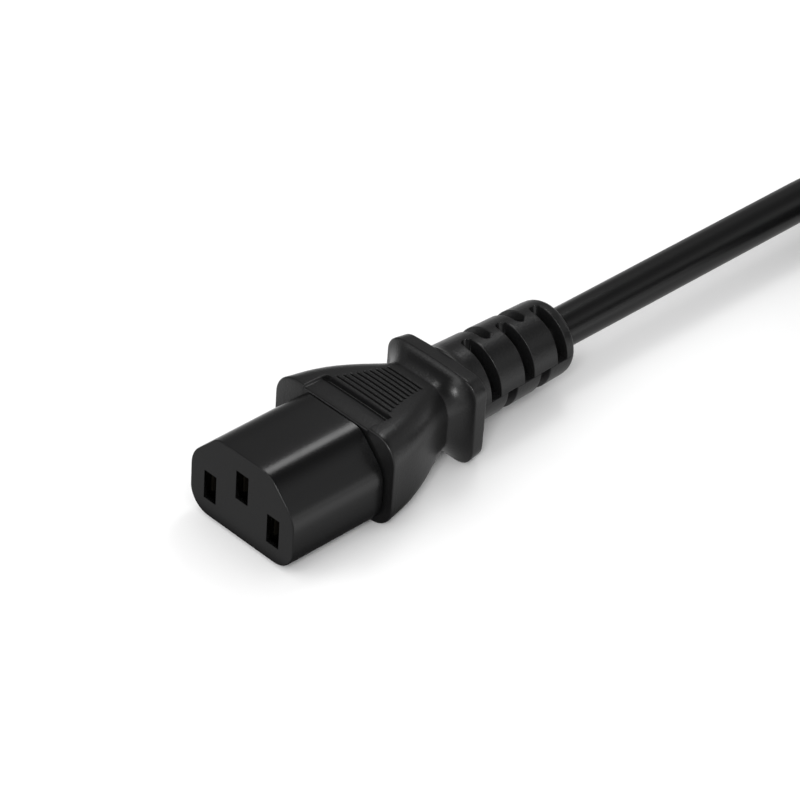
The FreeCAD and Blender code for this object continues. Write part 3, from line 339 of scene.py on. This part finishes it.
# %% All rows of a grip
LEAST_RADIUS = 0.3
PLAIN_HALF = 2.2
PLAIN_ROWS = 11
FRONT_FACE = ((4.0, 6.0), (PANEL_HALF, 2.0))
FRONT_EDGE = 0.3
FLARE = 3.5
FLARE_TURN = 80
NECK_RADIUS = 4.6
COLLAR_HALF = 9.85
COLLAR_RADIUS = 3.2
RIM = 2.8
COLLAR_ROWS = ((0.06, 0.04), (0.14, 0.01), (0.3, 0.02), (1.2, 0.14), (RIM - 0.45, 0.30))
RIM_EDGE = 0.4
RIM_INSET = 0.31


def between(first, last, share):
    """The value at a share of the way from the first to the last."""
    return first + (last - first) * share


def grip_rows(grip):
    """All cross-sections of a grip, from inside its front face to its collar's back."""
    rows = []

    def add(distance, sizes, edge=PLAIN_HALF, depth=0.0, inset=0.0):
        half, top, bottom, radius, crown = sizes
        x, z, part = section(
            half - inset, top - inset, bottom + inset, max(radius - inset, LEAST_RADIUS),
            edge, crown)
        rows.append((distance, x, z - part * depth))

    shoulder = waist_section(grip, 0.0)
    for edge, inset in FRONT_FACE:
        add(0.0, shoulder, edge, PANEL_DEPTH, inset)
    for degrees in (0, 15, 30, 50, 70, 90):
        angle = math.radians(degrees)
        add(
            FRONT_EDGE * (1 - math.cos(angle)), shoulder, PANEL_HALF, PANEL_DEPTH,
            FRONT_EDGE * (1 - math.sin(angle)))
    for distance, depth, edge in recess_rows():
        add(distance, waist_section(grip, distance), edge, depth)
    for share in np.linspace(0.0, 1.0, PLAIN_ROWS + 1)[1:]:
        plain = between(distance, WAIST, share)
        add(plain, waist_section(grip, plain), between(edge, PLAIN_HALF, share))

    widest = math.radians(FLARE_TURN)
    for degrees in range(6, FLARE_TURN + 1, 6):
        angle = math.radians(degrees)
        forward = math.sin(angle) / math.sin(widest)
        grown = (1 - math.cos(angle)) / (1 - math.cos(widest))
        half = between(grip["neck_half"], COLLAR_HALF, grown)
        top = between(grip["neck_top"], grip["rim_top"], grown)
        bottom = between(grip["neck_bottom"], grip["rim_bottom"], grown)
        radius = between(NECK_RADIUS, COLLAR_RADIUS, grown)
        add(WAIST + forward * FLARE, (half, top, bottom, radius, CROWN))
    full = (COLLAR_HALF, grip["rim_top"], grip["rim_bottom"], COLLAR_RADIUS, CROWN)
    collar = WAIST + FLARE
    for offset, inset in COLLAR_ROWS:
        add(collar + offset, full, inset=inset)
    for degrees in (20, 40, 60, 75, 90):
        angle = math.radians(degrees)
        back = collar + RIM - RIM_EDGE + RIM_EDGE * math.sin(angle)
        add(back, full, inset=RIM_INSET + RIM_EDGE * (1 - math.cos(angle)))
    return rows


print(len(grip_rows(connector_grip)), "rows along a grip")

# %% [markdown]
# The strain relief
# Real reliefs bend evenly because slots cut them from both sides in turns. Each slot starts
# at the parting line on the side and ends round, just past the top or the bottom.
# Cutting with booleans would leave thin slivers on a round surface. A grid round the axis
# is pressed down to the inner sleeve wherever a slot is, which rounds the edges as well.

# %% Where the slots are
RELIEF_LENGTH = 23.8
RELIEF_START = 7.2
RELIEF_END = 6.5
SLOT_CENTRES = (5.0, 8.85, 12.7, 16.55, 20.4)
SLOT_HALF = 1.1
SLOT_PAST = 1.0
SLOT_EDGE = 0.16
SLOT_WALL = 0.05
SLEEVE = 4.15
SLIT_HALF = 0.05
SLIT_DEPTH = 0.06


def relief_radius(distance):
    """Radius of the relief's outside, which narrows a little towards the cord."""
    return RELIEF_START + (RELIEF_END - RELIEF_START) * distance / RELIEF_LENGTH


def slot_distance(distance, x, z):
    """How far a place is from the nearest slot: negative inside it."""
    nearest = np.full(x.shape, np.inf)
    for number, centre in enumerate(SLOT_CENTRES):
        side = 1 if number % 2 == 0 else -1
        for upwards in (1, -1):
            past = x * side * upwards - (SLOT_HALF - SLOT_PAST)
            ahead = distance - centre
            gap = np.where(past > 0, np.abs(ahead), np.hypot(past, ahead))
            inside = np.maximum(gap - SLOT_HALF, -z * upwards)
            nearest = np.minimum(nearest, inside)
    return nearest


def parting_slit(z):
    """Depth of the fine line where the mould's halves met, by height from the axis."""
    return SLIT_DEPTH * np.clip(1 - np.abs(z) / SLIT_HALF, 0.0, 1.0)


def pressed(distance, angles):
    """Radius of the relief at one row: its surface, or the sleeve inside a slot."""
    surface = relief_radius(distance)
    x = surface * np.cos(angles)
    z = surface * np.sin(angles)
    away = slot_distance(distance, x, z)
    rounded = np.clip(away / SLOT_EDGE, 0.0, 1.0)
    radius = surface - SLOT_EDGE * (1 - np.sqrt(1 - (1 - rounded) ** 2))
    radius = radius - parting_slit(z)
    wall = np.clip(-away / SLOT_WALL, 0.0, 1.0)
    return radius + (SLEEVE - radius) * wall


print("slots at", SLOT_CENTRES)

# %% Rows and columns of the relief
RELIEF_ROUND = 1.3
NEAR_SLOT = (-0.24, -0.16, -0.11, -0.07, -0.03, 0.0, 0.05, 0.12)


def relief_angles():
    """Close columns where slots end, wide ones between."""
    quarter = [0.0, 0.25, 0.5, 1.0, 1.7, 2.6, 4.0, 6.0]
    quarter += list(np.arange(10.0, 74.0, 4.0))
    quarter += list(np.arange(75.0, 90.0, 1.2))
    half = quarter + [90.0] + [180.0 - angle for angle in reversed(quarter)]
    ring = half[:-1] + [180.0 + angle for angle in half[:-1]]
    return np.radians(ring)


def relief_distances():
    """Rows along the relief, close together at the edges of each slot."""
    rows = [0.0, 0.3, 0.8, 1.6, 2.6, 3.2]
    for centre in SLOT_CENTRES:
        rows += [centre - SLOT_HALF + offset for offset in NEAR_SLOT]
        rows += list(np.linspace(centre - 0.8, centre + 0.8, 11))
        rows += [centre + SLOT_HALF - offset for offset in reversed(NEAR_SLOT)]
        rows.append(centre + SLOT_HALF + 0.45)
    return sorted(row for row in rows if row < RELIEF_LENGTH - RELIEF_ROUND)


print(len(relief_distances()), "rows by", len(relief_angles()), "columns in a relief")

# %% The rings of a relief
INSIDE_COLLAR = (-0.6, 0.4)
FILLET = 0.35
FILLET_LENGTH = 0.8
CORD_MOUTH = ((0.0, 0.25), (0.12, 0.06), (1.5, -0.05))


def relief_rings(axis_height):
    """Rings of the relief from inside the collar to the end and back to the cord."""
    angles = relief_angles()
    start, narrower = INSIDE_COLLAR
    rings = [(start, np.full(len(angles), RELIEF_START - narrower))]
    for distance in relief_distances():
        fillet = FILLET * max(0.0, 1 - distance / FILLET_LENGTH) ** 2
        rings.append((distance, pressed(distance, angles) + fillet))
    for degrees in range(0, 91, 10):
        angle = math.radians(degrees)
        distance = RELIEF_LENGTH - RELIEF_ROUND + RELIEF_ROUND * math.sin(angle)
        radius = relief_radius(RELIEF_LENGTH) - RELIEF_ROUND * (1 - math.cos(angle))
        rings.append((distance, radius - parting_slit(radius * np.sin(angles))))
    for inwards, clear in CORD_MOUTH:
        rings.append((RELIEF_LENGTH - inwards, np.full(len(angles), CORD_RADIUS + clear)))
    return [
        (distance, radius * np.cos(angles), axis_height + radius * np.sin(angles))
        for distance, radius in rings
    ]


print(len(relief_rings(AXIS_HEIGHT)), "rings in a relief")

# %% Build one moulded end
SHARP_ANGLE = math.radians(38)


def grid_faces(row_count, column_count, first=0):
    """Quads between neighbouring rows of closed rings."""
    faces = []
    for row in range(row_count - 1):
        for column in range(column_count):
            following = (column + 1) % column_count
            a = first + row * column_count
            b = a + column_count
            faces.append((a + column, a + following, b + following, b + column))
    return faces


def smooth_mesh(name, vertices, faces):
    """A mesh from points in millimetres, shaded smooth up to its sharp edges."""
    mesh = bpy.data.meshes.new(name)
    mesh.from_pydata([(x * MM, y * MM, z * MM) for x, y, z in vertices], [], faces)
    mesh.update()
    mesh.shade_smooth()
    mesh.set_sharp_from_angle(angle=SHARP_ANGLE)
    return mesh


def build_moulding(name, grip, place, axis_height, node):
    """A grip and its relief as one object that stands for one CAD node."""
    across, front, lift = place
    rows = grip_rows(grip)
    vertices = []
    for distance, x, z in rows:
        vertices += [(across + px, front + distance, lift + pz) for px, pz in zip(x, z)]
    columns = len(rows[0][1])
    faces = grid_faces(len(rows), columns)
    last = (len(rows) - 1) * columns
    faces.append(tuple(last + column for column in range(columns)))
    collar_back = front + WAIST + FLARE + RIM
    rings = relief_rings(axis_height)
    first = len(vertices)
    for distance, x, z in rings:
        vertices += [(across + px, collar_back + distance, lift + pz) for px, pz in zip(x, z)]
    ring_faces = grid_faces(len(rings), len(rings[0][1]), first)
    faces += [tuple(reversed(face)) for face in ring_faces]
    piece = add_object(name, smooth_mesh(name, vertices, faces))
    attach(piece, "root")
    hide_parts(node)
    return piece


CONNECTOR_SHOULDER = -14.3
connector_moulding = build_moulding(
    "connector_moulding", connector_grip, (0.0, CONNECTOR_SHOULDER, 0.0), AXIS_HEIGHT,
    "connector_overmould")
print(len(connector_moulding.data.polygons), "faces in the connector's moulding")

# %% The plug's moulding, from the same rows
BLOCK_WIDE = 22.84
BLOCK_TALL = 15.49
ROOM_ROUND_BLOCK = 0.35
SHROUD_WALL = 1.9
GRIP_OVER_SHROUD = 0.4
PLUG_NECK = 6.8
PLUG_RIM = 8.025
PLUG_SHOULDER = 92.1

plug_growth = ROOM_ROUND_BLOCK + SHROUD_WALL
plug_tall = BLOCK_TALL + 2 * plug_growth
plug_grip = {
    "half": BLOCK_WIDE / 2 + plug_growth + GRIP_OVER_SHROUD,
    "tall": plug_tall + 2 * GRIP_OVER_SHROUD, "neck_half": 7.6,
    "neck_top": PLUG_AXIS + PLUG_NECK, "neck_bottom": PLUG_AXIS - PLUG_NECK,
    "rim_top": PLUG_AXIS + PLUG_RIM, "rim_bottom": PLUG_AXIS - PLUG_RIM,
}
plug_moulding = build_moulding(
    "plug_moulding", plug_grip, (PLUG_X, PLUG_SHOULDER, PLUG_LIFT), PLUG_AXIS,
    "plug_overmould")
print(len(plug_moulding.data.polygons), "faces in the plug's moulding")

# %% [markdown]
# The front block
# The block that goes into an inlet is moulded hard and smooth, with generous soft corners.
# The CAD block could be shown as it is, but its planes meet in crisp lines. Here the outline is
# drawn again with wider roundings, and its shading turns gently from plane to plane.

# %% The block's outline
BLOCK_HALF = BLOCK_WIDE / 2
BLOCK_LOW = 0.65
BLOCK_HIGH = 16.14
BLOCK_CUT = 5.52
BLOCK_RADII = (4.0, 4.0, 5.0, 3.0, 3.0, 5.0)
ARC_STEPS = 12
FLAT_STEPS = 10


def block_outline(inset):
    """Points counterclockwise round the block, and the direction that each one faces."""
    half = BLOCK_HALF - inset
    low = BLOCK_LOW + inset
    high = BLOCK_HIGH - inset
    cut = BLOCK_CUT - inset * (2 - math.sqrt(2))
    corners = [
        (-half, low), (half, low), (half, high - cut),
        (half - cut, high), (cut - half, high), (-half, high - cut),
    ]
    arcs = []
    for index, radius in enumerate(BLOCK_RADII):
        radius = max(radius - inset, LEAST_RADIUS)
        corner = np.array(corners[index])
        back = np.array(corners[index - 1]) - corner
        ahead = np.array(corners[(index + 1) % len(corners)]) - corner
        back /= np.linalg.norm(back)
        ahead /= np.linalg.norm(ahead)
        half_angle = math.acos(back @ ahead) / 2
        middle = (back + ahead) / np.linalg.norm(back + ahead)
        centre = corner + middle * radius / math.sin(half_angle)
        first = math.atan2(back[0], -back[1])
        angles = first + np.linspace(0.0, math.pi - 2 * half_angle, ARC_STEPS)
        facing = np.stack([np.cos(angles), np.sin(angles)], 1)
        arcs.append((centre + radius * facing, facing))
    points = []
    directions = []
    for index, (arc_points, facing) in enumerate(arcs):
        following = arcs[(index + 1) % len(arcs)][0][0]
        points += list(arc_points)
        directions += list(facing)
        for share in np.linspace(0.0, 1.0, FLAT_STEPS + 1)[1:-1]:
            points.append(arc_points[-1] + (following - arc_points[-1]) * share)
            directions.append(facing[-1])
    return np.array(points), np.array(directions)


outline, facing = block_outline(0.0)
print(len(outline), "points round the block")

# %% The way the block's shading faces
UPPER_PART = 13.4
UPPER_SPREAD = 1.6
LOWER_SPREAD = 0.5


def softened(points, directions, spread):
    """The directions, blended along the outline over a distance in millimetres."""
    steps = np.linalg.norm(np.roll(points, -1, 0) - points, axis=1)
    along = np.concatenate([[0.0], np.cumsum(steps)[:-1]])
    apart = np.abs(along[:, None] - along[None, :])
    apart = np.minimum(apart, steps.sum() - apart)
    weight = np.exp(-0.5 * (apart / spread) ** 2) * (steps + np.roll(steps, 1))[None, :]
    blend = weight @ directions
    return blend / np.linalg.norm(blend, axis=1)[:, None]


in_upper_part = outline[:, 1] > UPPER_PART
soft_facing = np.where(
    in_upper_part[:, None],
    softened(outline, facing, UPPER_SPREAD), softened(outline, facing, LOWER_SPREAD))
print(int(in_upper_part.sum()), "points with the wide blend")

# %% The block's walls
BLOCK_FRONT = -33.1
BLOCK_BACK = -14.7
BLOCK_EDGE = 0.22
EDGE_ANGLES = (90, 68, 45, 22, 0)
WALL_PLACES = (-30.0, -25.0, -20.0, BLOCK_BACK)
SPIGOT_BACK = -11.1
SPIGOT_INSET = 1.7

vertices = []
normals = []


def add_ring(points, y, directions=None, forward=0.0):
    """Put one ring of points into the block's mesh, with the way its shading faces."""
    first = len(vertices)
    outwards = math.cos(forward)
    for index, (x, z) in enumerate(points):
        vertices.append((x, y, z))
        if directions is None:
            normals.append((0.0, 0.0, 0.0))
        else:
            aside, up = directions[index]
            normals.append((aside * outwards, -math.sin(forward), up * outwards))
    return first


for degrees in EDGE_ANGLES:
    angle = math.radians(degrees)
    inset_points = outline - facing * BLOCK_EDGE * (1 - math.cos(angle))
    add_ring(inset_points, BLOCK_FRONT + BLOCK_EDGE * (1 - math.sin(angle)), soft_facing, angle)
for y in WALL_PLACES:
    add_ring(outline, y, soft_facing)
walls = grid_faces(len(EDGE_ANGLES) + len(WALL_PLACES), len(outline))

spigot_points, _ = block_outline(SPIGOT_INSET)
first_ring = add_ring(outline, BLOCK_BACK)
add_ring(spigot_points, BLOCK_BACK)
last_ring = add_ring(spigot_points, SPIGOT_BACK)
walls += grid_faces(3, len(outline), first_ring)
faces = [tuple(reversed(face)) for face in walls]
faces.append(tuple(reversed(range(last_ring, last_ring + len(outline)))))
print(len(faces), "faces round the block")

# %% The front face with its three slots
SLOT_PLACES = ((-7.0, 6.3), (0.0, 10.3), (7.0, 6.3))
SLOT_HALVES = (1.35, 2.6)
SLOT_DEPTH = 1.3
CHAMBER_HALVES = (2.1, 2.9)
CHAMBER_END = -11.6


def rectangle(place, halves):
    """Four corners, counterclockwise."""
    x, z = place
    wide, tall = halves
    return [(x - wide, z - tall), (x + wide, z - tall), (x + wide, z + tall), (x - wide, z + tall)]


face_ring = outline - facing * BLOCK_EDGE
loops = [face_ring] + [rectangle(place, SLOT_HALVES) for place in SLOT_PLACES]
first_ring = len(vertices)
for loop in loops:
    add_ring(loop, BLOCK_FRONT)
flat_loops = [[Vector((x, z, 0.0)) for x, z in loop] for loop in loops]
for triangle in tessellate_polygon(flat_loops):
    a, b, c = (Vector(vertices[first_ring + corner]) for corner in triangle)
    looks_forward = (b - a).cross(c - a).y < 0
    ordered = triangle if looks_forward else reversed(triangle)
    faces.append(tuple(first_ring + corner for corner in ordered))
print(len(loops), "loops in the front face")

# %% The chambers behind the slots, and the whole block
for place in SLOT_PLACES:
    first_ring = add_ring(rectangle(place, SLOT_HALVES), BLOCK_FRONT)
    add_ring(rectangle(place, SLOT_HALVES), BLOCK_FRONT + SLOT_DEPTH)
    add_ring(rectangle(place, CHAMBER_HALVES), BLOCK_FRONT + SLOT_DEPTH)
    last_ring = add_ring(rectangle(place, CHAMBER_HALVES), CHAMBER_END)
    faces += grid_faces(4, 4, first_ring)
    faces.append(tuple(range(last_ring, last_ring + 4)))

block_mesh = smooth_mesh("front_block", vertices, faces)
block_mesh.normals_split_custom_set_from_vertices(normals)
front_block = add_object("front_block", block_mesh)
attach(front_block, "root")
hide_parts("contact_carrier")
print(len(block_mesh.polygons), "faces in the block")

# %% [markdown]
# Finishes
# The mouldings come out of a spark-eroded mould: black plastic with a very fine grain that
# breaks highlights into speckles. The front block is smoother and the jacket smoother still.
# An image of a grain would repeat and needs a file, so noise in the object's own coordinates
# makes it, with grains a few tenths of a millimetre wide.

# %% A helper for grained plastic
CLOUD_SCALE = 180.0


def span_node(tree, value, source=(0.0, 1.0), target=(0.0, 1.0)):
    """A value moved from one span of numbers to another, and kept inside it."""
    node = tree.nodes.new("ShaderNodeMapRange")
    node.inputs["From Min"].default_value, node.inputs["From Max"].default_value = source
    node.inputs["To Min"].default_value, node.inputs["To Max"].default_value = target
    tree.links.new(value, node.inputs["Value"])
    return node.outputs["Result"]


def plastic(name, colour, roughness, specular, grain, depth, mottle):
    """A plastic whose grain has a size and a depth in millimetres, and uneven gloss."""
    material = bpy.data.materials.new(name)
    material.use_nodes = True
    tree = material.node_tree
    shader = tree.nodes["Principled BSDF"]
    shader.inputs["Base Color"].default_value = (*colour, 1.0)
    shader.inputs["Roughness"].default_value = roughness
    shader.inputs["Specular IOR Level"].default_value = specular
    place = tree.nodes.new("ShaderNodeTexCoord")
    noise = tree.nodes.new("ShaderNodeTexNoise")
    noise.inputs["Scale"].default_value = 1 / (grain * MM)
    noise.inputs["Detail"].default_value = 2.0
    noise.inputs["Roughness"].default_value = 0.6
    bump = tree.nodes.new("ShaderNodeBump")
    bump.inputs["Strength"].default_value = 1.0
    bump.inputs["Distance"].default_value = depth * MM
    tree.links.new(place.outputs["Object"], noise.inputs["Vector"])
    tree.links.new(noise.outputs["Fac"], bump.inputs["Height"])
    tree.links.new(bump.outputs["Normal"], shader.inputs["Normal"])
    cloud = tree.nodes.new("ShaderNodeTexNoise")
    cloud.inputs["Scale"].default_value = CLOUD_SCALE
    cloud.inputs["Detail"].default_value = 3.0
    tree.links.new(place.outputs["Object"], cloud.inputs["Vector"])
    spread = (roughness - mottle, roughness + mottle)
    gloss = span_node(tree, cloud.outputs["Fac"], target=spread)
    tree.links.new(gloss, shader.inputs["Roughness"])
    return material


def dress(piece, material):
    """Give a whole piece one finish."""
    piece.data.materials.clear()
    piece.data.materials.append(material)


def dress_node(name, material):
    """Put a finish on every material slot of a CAD node."""
    for material_slot in cad_nodes[name].material_slots:
        material_slot.material = material


grained_black = plastic("grained_black", (0.006, 0.006, 0.0062), 0.33, 0.5, 0.40, 0.034, 0.04)
satin_black = plastic("satin_black", (0.004, 0.004, 0.0042), 0.26, 0.5, 0.35, 0.004, 0.03)
jacket_black = plastic("jacket_black", (0.004, 0.004, 0.0041), 0.30, 0.5, 0.5, 0.002, 0.03)
dress(connector_moulding, grained_black)
dress(plug_moulding, grained_black)
dress(cord, jacket_black)
dress(front_block, satin_black)
dress_node("plug_insert", satin_black)
print("plastics made")

# %% [markdown]
# Metal and cores
# Behind the slots sit spring contacts of brass, and the plug has plated pins.
# They could stay flat grey, but drawn metal has fine lines that stretch its highlights, so
# each gets them. The contacts' brass is toned down to a painted shade, because the
# photograph shows no bright metal in the slots.

# %% Metal finishes
LINE_SCALE = (9000.0, 300.0, 9000.0)
LINE_SPREAD = 0.08


def metal(name, colour, roughness):
    """A metal with fine lines along the part."""
    material = bpy.data.materials.new(name)
    material.use_nodes = True
    tree = material.node_tree
    shader = tree.nodes["Principled BSDF"]
    shader.inputs["Base Color"].default_value = (*colour, 1.0)
    shader.inputs["Metallic"].default_value = 1.0
    place = tree.nodes.new("ShaderNodeTexCoord")
    stretch = tree.nodes.new("ShaderNodeMapping")
    stretch.inputs["Scale"].default_value = LINE_SCALE
    lines = tree.nodes.new("ShaderNodeTexNoise")
    lines.inputs["Scale"].default_value = 1.0
    tree.links.new(place.outputs["Object"], stretch.inputs["Vector"])
    tree.links.new(stretch.outputs["Vector"], lines.inputs["Vector"])
    spread = (roughness - LINE_SPREAD, roughness + LINE_SPREAD)
    gloss = span_node(tree, lines.outputs["Fac"], target=spread)
    tree.links.new(gloss, shader.inputs["Roughness"])
    return material


# The contacts' brass is painted dark, as painted shade inside the slots.
slot_shade_brass = metal("contact_brass", (0.06, 0.054, 0.043), 0.55)
plated = metal("plated_pin", (0.68, 0.68, 0.66), 0.25)
copper = metal("copper_strands", (0.72, 0.36, 0.2), 0.38)
core_colours = {
    "neutral": (0.04, 0.13, 0.42), "earth": (0.1, 0.33, 0.08), "line": (0.16, 0.07, 0.03)}
for pole, colour in core_colours.items():
    cover = plastic(f"core_{pole}", colour, 0.4, 0.5, 0.4, 0.002, 0.03)
    dress_node(f"{pole}_contact", slot_shade_brass)
    dress_node(f"plug_{pole}_pin", plated)
    for end in ("", "plug_"):
        dress_node(f"{end}{pole}_lead", cover)
        dress_node(f"{end}{pole}_strands", copper)
tie_fabric = plastic("tie_fabric", (0.02, 0.02, 0.021), 0.85, 0.2, 0.5, 0.12, 0.03)
dress_node("coil_tie", tie_fabric)
print("metal and cores dressed")

# %% [markdown]
# The cord's two ends
# The cord leaves the connector's relief and ends in the plug that lies on the hank.

# %% [markdown]
# Floor and light
# The photograph has a white ground with a soft shadow. Its highlights fit a small light high
# behind the object, two lights in front of it and a dim studio round it. White ground right
# beside the object would flood its sides, but the photograph shows them dark below and bright
# above. So the eye sees a white floor, while reflections see a painted floor, dark beside the
# object as painted shade, and a studio whose brightness follows the photograph's reflections.

# %% Helpers for shader nodes


def coordinate_parts(tree, kind):
    """The X, Y and Z of a place or a direction."""
    place = tree.nodes.new("ShaderNodeTexCoord")
    parts = tree.nodes.new("ShaderNodeSeparateXYZ")
    tree.links.new(place.outputs[kind], parts.inputs["Vector"])
    return parts.outputs


def math_node(tree, operation, *inputs):
    """The output of a calculation with numbers or other outputs."""
    node = tree.nodes.new("ShaderNodeMath")
    node.operation = operation
    for socket, value in zip(node.inputs, inputs):
        if isinstance(value, (int, float)):
            socket.default_value = value
        else:
            tree.links.new(value, socket)
    return node.outputs["Value"]


def ramp_node(tree, value, stops):
    """The brightness at a place between stops of (place, brightness)."""
    node = tree.nodes.new("ShaderNodeValToRGB")
    elements = node.color_ramp.elements
    while len(elements) < len(stops):
        elements.new(0.5)
    for element, (place, _) in zip(elements, stops):
        element.position = place
    for element, (_, level) in zip(elements, stops):
        element.color = (level, level, level, 1.0)
    tree.links.new(value, node.inputs["Fac"])
    return node.outputs["Color"]


def mix_values(tree, share, first, second):
    """A value that goes from the first to the second as the share goes from 0 to 1."""
    kept = math_node(tree, "MULTIPLY", math_node(tree, "SUBTRACT", 1.0, share), first)
    return math_node(tree, "ADD", kept, math_node(tree, "MULTIPLY", share, second))


def mirrored_ray(tree, path):
    """1 on rays that a gloss or a glass sends out."""
    return math_node(
        tree, "MAXIMUM", path.outputs["Is Glossy Ray"], path.outputs["Is Transmission Ray"])


print("shader helpers ready")

# %% The painted reflection of the floor
# Painted reflection: a glow seen only by reflections, dark beside the object as painted shade.
RAMP_REACH = 0.1
PAINTED_REFLECTION_STOPS = ((0.12, 0.05), (0.15, 0.12), (0.20, 0.42), (0.26, 0.76), (0.40, 1.0))
BACK_LEVEL = 0.38
BACK_SPAN = (-0.010, 0.006)
CORD_LEVEL = 0.42
CORD_SPAN = (0.070, 0.100)
FRONT_LEVEL = 0.34
FRONT_SPAN = (-0.0335, -0.0355)

floor_with_painted_reflection = bpy.data.materials.new("floor_with_painted_reflection")
floor_with_painted_reflection.use_nodes = True
floor_with_painted_reflection.cycles.emission_sampling = "NONE"
tree = floor_with_painted_reflection.node_tree
tree.nodes.remove(tree.nodes["Principled BSDF"])
parts = coordinate_parts(tree, "Object")
aside = math_node(tree, "ABSOLUTE", parts["X"])
beside = ramp_node(tree, math_node(tree, "DIVIDE", aside, RAMP_REACH), PAINTED_REFLECTION_STOPS)
brighter = math_node(tree, "MAXIMUM", beside, BACK_LEVEL)
level = mix_values(tree, span_node(tree, parts["Y"], BACK_SPAN), beside, brighter)
level = mix_values(tree, span_node(tree, parts["Y"], CORD_SPAN), level, CORD_LEVEL)
level = mix_values(tree, span_node(tree, parts["Y"], FRONT_SPAN), level, FRONT_LEVEL)
painted_floor_reflection = tree.nodes.new("ShaderNodeEmission")
tree.links.new(level, painted_floor_reflection.inputs["Strength"])
print("floor's reflection made from", len(PAINTED_REFLECTION_STOPS), "stops")

# %% The floor that the eye sees
FLOOR_COLOUR = 0.90
FLOOR_HALF = 3.0

paint = tree.nodes.new("ShaderNodeBsdfDiffuse")
paint.inputs["Color"].default_value = (FLOOR_COLOUR, FLOOR_COLOUR, FLOOR_COLOUR, 1.0)
path = tree.nodes.new("ShaderNodeLightPath")
# Reflections see the painted reflection; the eye and other rays see the white floor.
pick = tree.nodes.new("ShaderNodeMixShader")
tree.links.new(mirrored_ray(tree, path), pick.inputs["Fac"])
tree.links.new(paint.outputs["BSDF"], pick.inputs[1])
tree.links.new(painted_floor_reflection.outputs["Emission"], pick.inputs[2])
tree.links.new(pick.outputs["Shader"], tree.nodes["Material Output"].inputs["Surface"])

floor_mesh = bpy.data.meshes.new("floor")
floor_mesh.from_pydata(
    [(-FLOOR_HALF, -FLOOR_HALF, 0), (FLOOR_HALF, -FLOOR_HALF, 0),
     (FLOOR_HALF, FLOOR_HALF, 0), (-FLOOR_HALF, FLOOR_HALF, 0)], [], [(0, 1, 2, 3)])
floor_mesh.materials.append(floor_with_painted_reflection)
floor = add_object("floor", floor_mesh)
print("floor laid")

# %% The lights


def softbox(name, place, side, power):
    """A square light that looks at the middle of the scene."""
    light_data = bpy.data.lights.new(name, "AREA")
    light_data.shape = "SQUARE"
    light_data.size = side
    light_data.energy = power
    light = add_object(name, light_data)
    light.location = place
    light.rotation_euler = (-Vector(place)).to_track_quat("-Z", "Y").to_euler()


softbox("key_light", (-0.059, 0.120, 0.211), 0.064, 0.074)
softbox("front_light", (-0.35, -0.9, 0.7), 0.8, 3.0)
softbox("side_light", (0.50, -0.70, 0.70), 0.25, 4.0)
print("lights placed")

# %% The studio round the object
AMBIENT = 0.90
MIDDLE_SPAN = (-0.1, 0.1)
RIGHT_STOPS = ((0.10, 1.0), (0.22, 0.50), (0.38, 0.34), (0.56, 0.52), (0.68, 0.12), (0.80, 0.0))
LEFT_STOPS = ((0.0, 0.5), (0.12, 0.25), (0.42, 0.12), (0.60, 0.31), (0.80, 0.0))

world = bpy.data.worlds.new("studio")
world.use_nodes = True
world.cycles.sampling_method = "NONE"
scene.world = world
tree = world.node_tree
background = tree.nodes["Background"]
background.inputs["Color"].default_value = (1.0, 1.0, 1.0, 1.0)
path = tree.nodes.new("ShaderNodeLightPath")
parts = coordinate_parts(tree, "Generated")
left_side = ramp_node(tree, parts["Z"], LEFT_STOPS)
right_side = ramp_node(tree, parts["Z"], RIGHT_STOPS)
studio = mix_values(tree, span_node(tree, parts["X"], MIDDLE_SPAN), left_side, right_side)
strength = mix_values(tree, mirrored_ray(tree, path), AMBIENT, studio)
strength = mix_values(tree, path.outputs["Is Camera Ray"], strength, 1.0)
tree.links.new(strength, background.inputs["Strength"])
scene.view_settings.view_transform = "Standard"
print("studio lit at", AMBIENT)

# %% [markdown]
# Sizes and the end
# The dressed part has to stay inside the CAD model's box. The end so they can be compared
# after each render.

# %% Finish
bpy.context.view_layer.update()
